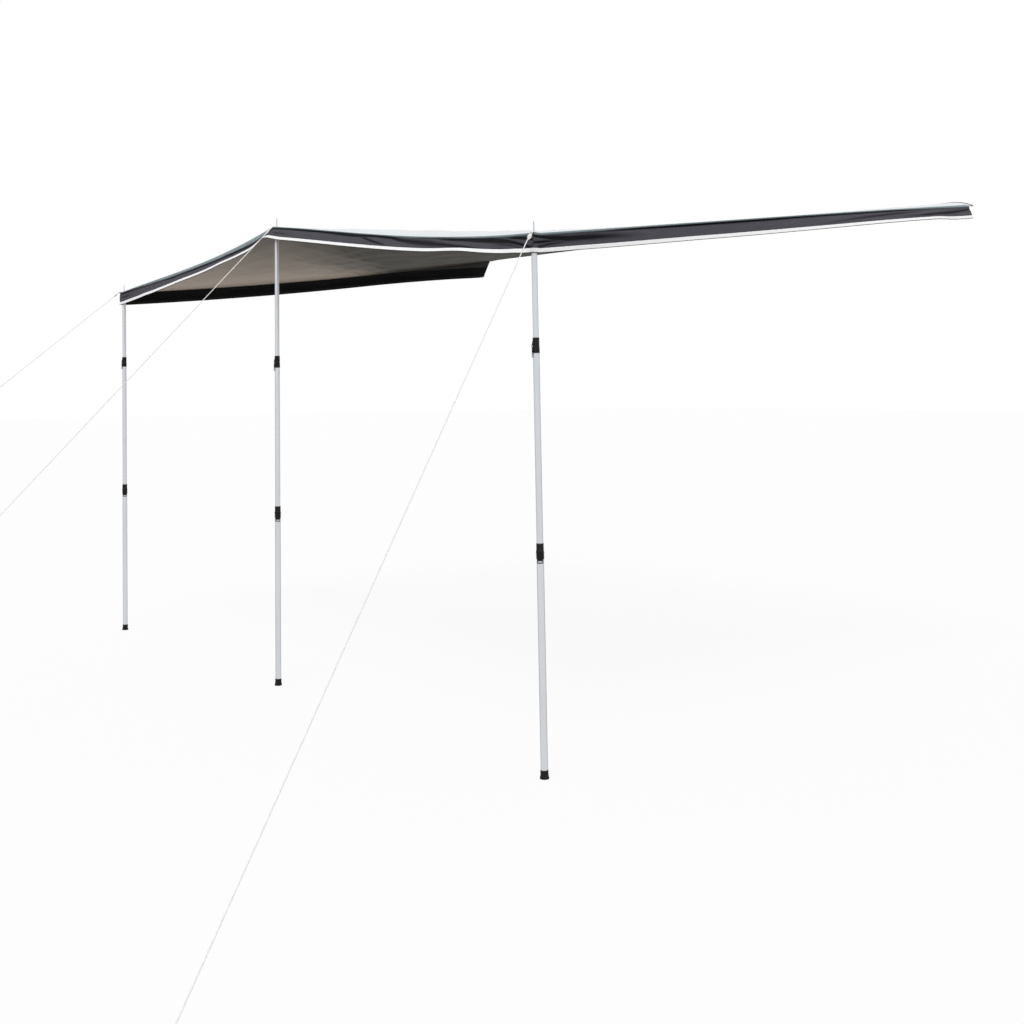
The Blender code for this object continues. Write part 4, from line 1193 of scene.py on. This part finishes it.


# %% The roof cloth and its hem
# Painted shade and light on the underside: a middle taupe, a painted shade toward the rail, a painted light toward
# the left
UNDERSIDE = (0.145, 0.126, 0.106)
UNDERSIDE_PAINTED_SHADE = (0.064, 0.057, 0.046)
UNDERSIDE_PAINTED_LIGHT = (0.440, 0.375, 0.315)
# Painted light: one fabric, its top painted near white as sunlit and its underside taupe as in shade
SUNLIT_TOP_COLOUR = (0.80, 0.82, 0.84)
SHADE_STREAK_TURN = (0.0, 0.0, -0.92)  # the streaks of the painted shade run from the left edge toward the front right
SHADE_STREAK_SCALE = (1.6, 0.045, 1.0)
SHADE_STREAK_DEPTH = 0.45
SHADE_SLANT = 0.86
SHADE_START = 2.8
SHADE_FADE = 0.5
PAINTED_LIGHT_LEFT = (0.15, 0.98)  # shares of the way from the middle to the left edge
PAINTED_LIGHT_FRONT = (0.05, 0.45)  # shares of the way from the rail to the front
# Painted shade: the hem is the light roof cloth turned over, painted blue-grey as it looks in shade
HEM_SHADED_COLOUR = (0.21, 0.26, 0.28)
STITCH = 0.0035
STITCH_SHARE = 0.2  # the stitches lie where their wave is above this


def make_roof_cloth():
    """Painted light and shade: the top is painted near white as sunlit and the underside taupe as in shade. The
    underside is painted lighter toward the left edge and darker toward the rail, with a streaked border along
    slanting lines.
    """
    finish = Finish("roof_cloth", Specular_IOR_Level=0.2)
    above = finish.source("ShaderNodeNewGeometry", "Normal").axis("Z").ramp(0.45, 0.55)
    fade = finish.uv.noise(1.7, 3.0)
    # painted light toward the left edge and the front
    toward_left = (finish.object.axis("X") * (-1 / HALF_WIDTH)).ramp(*PAINTED_LIGHT_LEFT)
    toward_front = (finish.object.axis("Y") * (1 / FRONT_EDGE)).ramp(*PAINTED_LIGHT_FRONT)
    painted_light = toward_left * toward_front
    # painted shade toward the rail, its border streaked along slanting lines
    along_shade_streaks = {"Vector": finish.object, "Rotation": SHADE_STREAK_TURN, "Scale": SHADE_STREAK_SCALE}
    shade_streaks = finish.object.node("ShaderNodeMapping", {"vector_type": "TEXTURE"}, along_shade_streaks).noise(1.0, 3.0)
    to_rail = finish.object.axis("Y") * -1.0 - finish.object.axis("X") * SHADE_SLANT
    lit = ((to_rail + shade_streaks * SHADE_STREAK_DEPTH - SHADE_START) * (1 / SHADE_FADE)).ramp(0.0, 1.0)
    under = lit.mix(UNDERSIDE_PAINTED_SHADE, painted_light.mix(UNDERSIDE, UNDERSIDE_PAINTED_LIGHT))
    over = fade.mix(*shades(SUNLIT_TOP_COLOUR, 0.97, 1.02))
    # the top is painted as sunlit and the underside as in shade
    finish.feed(Base_Color=above.mix(under, over), Roughness=finish.uv.noise(6.0).between(0.66, 0.78))
    finish.bump(weave(finish.uv) + finish.uv.noise(40.0) * 0.6, 0.00012)


def make_hem_cloth():
    finish = Finish("hem_cloth", Roughness=0.6, Specular_IOR_Level=0.2)
    wear = finish.uv.noise(25.0, 3.0)
    # painted shade: blue-grey as the roof cloth in shade, with random wear
    finish.feed(Base_Color=wear.mix(*shades(HEM_SHADED_COLOUR, 0.85, 1.15)))
    stitch = finish.uv.axis("X").wave(2 * STITCH).math("GREATER_THAN", STITCH_SHARE)
    finish.bump(weave(finish.uv) - stitch, 0.00015)


make_roof_cloth()
make_hem_cloth()

# %% The valance cloth and the binding tape
FOLD_COLOUR = (0.076, 0.073, 0.088)
# Painted shade: the creases are painted near black where they lie deep
CREASE_PAINTED_SHADE = (0.004, 0.0035, 0.005)
# Painted shade: the inner sides of the valance and the binding are painted near black, as they look in shade
INSIDE_PAINTED_SHADE = (0.0025, 0.0022, 0.0022)
# The inner side is dark grey instead of near black where the left strip hangs deeper at the rear
INSIDE_UPPER_COLOUR = (0.036, 0.034, 0.031)
INSIDE_UPPER_FROM = -0.001  # flat height at which the deeper rear part of the left strip starts
TAPE_COLOUR = (0.97, 0.97, 0.98)
TAPE_RIB = 0.0016
TAPE_SHADED_EDGE = 0.0022  # a line this tall along the tape's foot is painted near black as shade


def make_valance_cloth():
    """Outside, a random fade greys the cloth and the creases are painted dark as shade. Inside, it is painted near
    black as shade, and dark grey where the left strip hangs deeper at the rear.
    """
    finish = Finish("valance_cloth", Specular_IOR_Level=0.10)
    fade = finish.uv.stretched((1.0, 6.0, 1.0)).noise(7.0, 4.0)
    dusty = fade.mix(*shades(FOLD_COLOUR, 0.82, 1.15))
    valley = finish.object.node("ShaderNodeAttribute", {"attribute_name": "valley"}, {}, "Fac")
    # painted shade in the creases, read from the valley attribute
    outside = valley.ramp(0.0, 0.6).mix(dusty, CREASE_PAINTED_SHADE)
    # the inner side is painted near black as shade
    inside = finish.uv.axis("Y").math("LESS_THAN", INSIDE_UPPER_FROM).mix(INSIDE_PAINTED_SHADE, INSIDE_UPPER_COLOUR)
    finish.feed(Base_Color=finish.outward().mix(inside, outside), Roughness=finish.uv.noise(30.0).between(0.55, 0.75))
    finish.bump(weave(finish.uv) + finish.uv.noise(90.0) * 0.8, 0.00018)


def make_binding_tape():
    """White on its outer side. Its inner side and a line along its foot are painted near black as shade."""
    finish = Finish("binding_tape", Roughness=0.65, Specular_IOR_Level=0.2)
    shade = finish.uv.noise(45.0, 3.0)
    white = shade.mix(*shades(TAPE_COLOUR, 0.93, 1.0))
    above_shaded_edge = finish.uv.axis("Y").math("LESS_THAN", BINDING_DROP + TAPE_UP - TAPE_SHADED_EDGE)
    # painted shade: near black inside and along the tape's foot
    finish.feed(Base_Color=(finish.outward() * above_shaded_edge).mix(INSIDE_PAINTED_SHADE, white))
    ribs = finish.uv.axis("X").wave(TAPE_RIB) * 0.5 + 0.5
    finish.bump(ribs + finish.uv.noise(300.0), 0.00015)


make_valance_cloth()
make_binding_tape()

# %% The rope yarn
BRAID = 0.0042
BRAID_SLANT = 0.8


def make_rope_yarn():
    """Strands that cross left and right round the rope: two slanting waves on Object coordinates."""
    finish = Finish("rope_yarn", Roughness=0.8, Specular_IOR_Level=0.2)
    place = finish.object
    left = (place.axis("X") + place.axis("Z") * BRAID_SLANT).wave(BRAID)
    right = (place.axis("Y") - place.axis("Z") * BRAID_SLANT).wave(BRAID)
    strands = left * right * 0.5 + 0.5
    finish.feed(Base_Color=strands.mix((0.74, 0.73, 0.72), (0.97, 0.97, 0.95)))
    finish.bump(strands + place.noise(1500.0) * 0.5, 0.0004)


make_rope_yarn()

# %% [markdown]
# ## Metal, plastic and rubber finishes
#
# Anodised tubes show fine lines along their length and soft, duller patches. Moulded plastic has a fine grain, and
# rubber is duller with a little dust.


# %% Metals
def make_aluminium():
    finish = Finish("aluminium", Metallic=1.0, Specular_Tint=(0.05, 0.05, 0.06, 1.0))
    lines = finish.object.stretched((900.0, 900.0, 6.0)).noise(1.0, 3.0)
    cloud = finish.object.stretched((20.0, 20.0, 4.0)).noise(1.0, 3.0)
    finish.feed(
        Base_Color=cloud.mix((0.59, 0.61, 0.64), (0.71, 0.73, 0.75)),
        Roughness=lines * 0.10 + cloud * 0.12 + 0.24,
    )
    finish.bump(lines, 0.00002)


def make_steel(name, dark, bright, roughness):
    finish = Finish(name, Metallic=1.0)
    spangle = finish.object.noise(260.0, 4.0)
    finish.feed(Base_Color=spangle.mix(dark, bright), Roughness=spangle.between(roughness, roughness + 0.25))
    finish.bump(spangle, 0.00003)


make_aluminium()
make_steel("zinc_steel", (0.42, 0.46, 0.52), (0.62, 0.66, 0.72), 0.25)
make_steel("eyelet_metal", (0.66, 0.65, 0.62), (0.80, 0.79, 0.76), 0.16)


# %% Plastics and rubber
def make_black(name, colour, roughness, grain, depth):
    finish = Finish(name, Specular_IOR_Level=0.18)
    fine = finish.object.noise(grain, 3.0)
    dust = finish.object.noise(60.0, 4.0)
    finish.feed(Base_Color=dust.mix(*shades(colour, 0.7, 1.5)), Roughness=dust.between(roughness, roughness + 0.18))
    finish.bump(fine, depth)


make_black("clamp_plastic", (0.005, 0.005, 0.0055), 0.34, 2600.0, 0.00006)
make_black("runner_plastic", (0.016, 0.016, 0.017), 0.40, 2600.0, 0.00006)
make_black("foot_rubber", (0.008, 0.008, 0.008), 0.60, 1400.0, 0.00012)
make_black("welt", (0.012, 0.010, 0.014), 0.42, 900.0, 0.00005)

# %% Give every piece its finish
SLOTS = {"hem_cloth": "roof_cloth"}
for obj, finish in made:
    obj.data.materials.clear()
    obj.data.materials.append(FINISHES[finish])
    SLOTS.get(finish, finish)
for side in SIDES:
    for level in ("upper", "lower"):
        pin = frame["nodes"][f"{side}_{level}_clamp_pin"]
        for holder in pin.material_slots:
            holder.material = FINISHES["zinc_steel"]
print(len(made), "pieces have", len(FINISHES), "finishes")

# %% [markdown]
# ## Floor and light
#
# The photograph has a plain white ground. The floor is white to the camera and to reflections, and a share of its
# real shading is kept, so that the feet have their shadow. The light is a soft sky with one large lamp.

# %% The floor
FLOOR_SIZE = 60.0
FLOOR_OWN_SHADE = 0.08
FLOOR_BELOW = 0.0005


def white_to_camera(tree):
    """1 for rays that should see plain white: from the camera, from gloss and through glass."""
    path = tree.nodes.new("ShaderNodeLightPath")
    camera_ray, glossy, through = (
        Wire(tree, path.outputs[name]) for name in ("Is Camera Ray", "Is Glossy Ray", "Is Transmission Ray")
    )
    return camera_ray.math("MAXIMUM", glossy).math("MAXIMUM", through)


def make_floor():
    work = bmesh.new()
    bmesh.ops.create_grid(work, x_segments=1, y_segments=1, size=FLOOR_SIZE)
    bmesh.ops.translate(work, verts=work.verts, vec=UP * (GROUND - FLOOR_BELOW))
    floor = show(object_of("floor", work))
    finish = Finish("floor", Base_Color=(0.82, 0.82, 0.82, 1.0), Roughness=0.9)
    white = white_to_camera(finish.tree)
    glow = white.node("ShaderNodeEmission", {}, {"Color": (1.0, 1.0, 1.0, 1.0), "Strength": 1.0})
    share = white * (1.0 - FLOOR_OWN_SHADE)
    shaded = Wire(finish.tree, finish.shader.outputs["BSDF"])
    mixed = white.node("ShaderNodeMixShader", {}, {0: share, 1: shaded, 2: glow})
    finish.tree.links.new(mixed.socket, finish.tree.nodes["Material Output"].inputs["Surface"])
    floor.data.materials.append(FINISHES["floor"])
    floor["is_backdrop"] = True


make_floor()
print("floor at", round(GROUND, 3))

# %% The sky and the lamp
SKY_LIGHT = 0.55
LAMP_STRENGTH = 1.6
LAMP_FROM = (0.35, -0.45, 0.82)
LAMP_SOFTNESS = 25.0

world = bpy.data.worlds.new("soft_sky")
bpy.context.scene.world = world
world.use_nodes = True
sky_tree = world.node_tree
white = white_to_camera(sky_tree)
strength = white * (1.0 - SKY_LIGHT) + SKY_LIGHT
background = sky_tree.nodes["Background"]
background.inputs["Color"].default_value = (1.0, 1.0, 1.0, 1.0)
sky_tree.links.new(strength.socket, background.inputs["Strength"])

lamp = bpy.data.lights.new("soft_lamp", "SUN")
lamp.energy = LAMP_STRENGTH
lamp.angle = radians(LAMP_SOFTNESS)
lamp_holder = show(bpy.data.objects.new("soft_lamp", lamp))
lamp_holder.rotation_euler = Vector(LAMP_FROM).to_track_quat("Z", "Y").to_euler()
bpy.context.scene.view_settings.view_transform = "Standard"
print("sky", SKY_LIGHT, "lamp", LAMP_STRENGTH)

# %% The boxes of the CAD and of the dressed model
boxes = {"cad": [list(corner) for corner in CAD_BOX], "visual": [list(corner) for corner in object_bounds()]}
print("visual box", [round(value, 3) for corner in boxes["visual"] for value in corner])
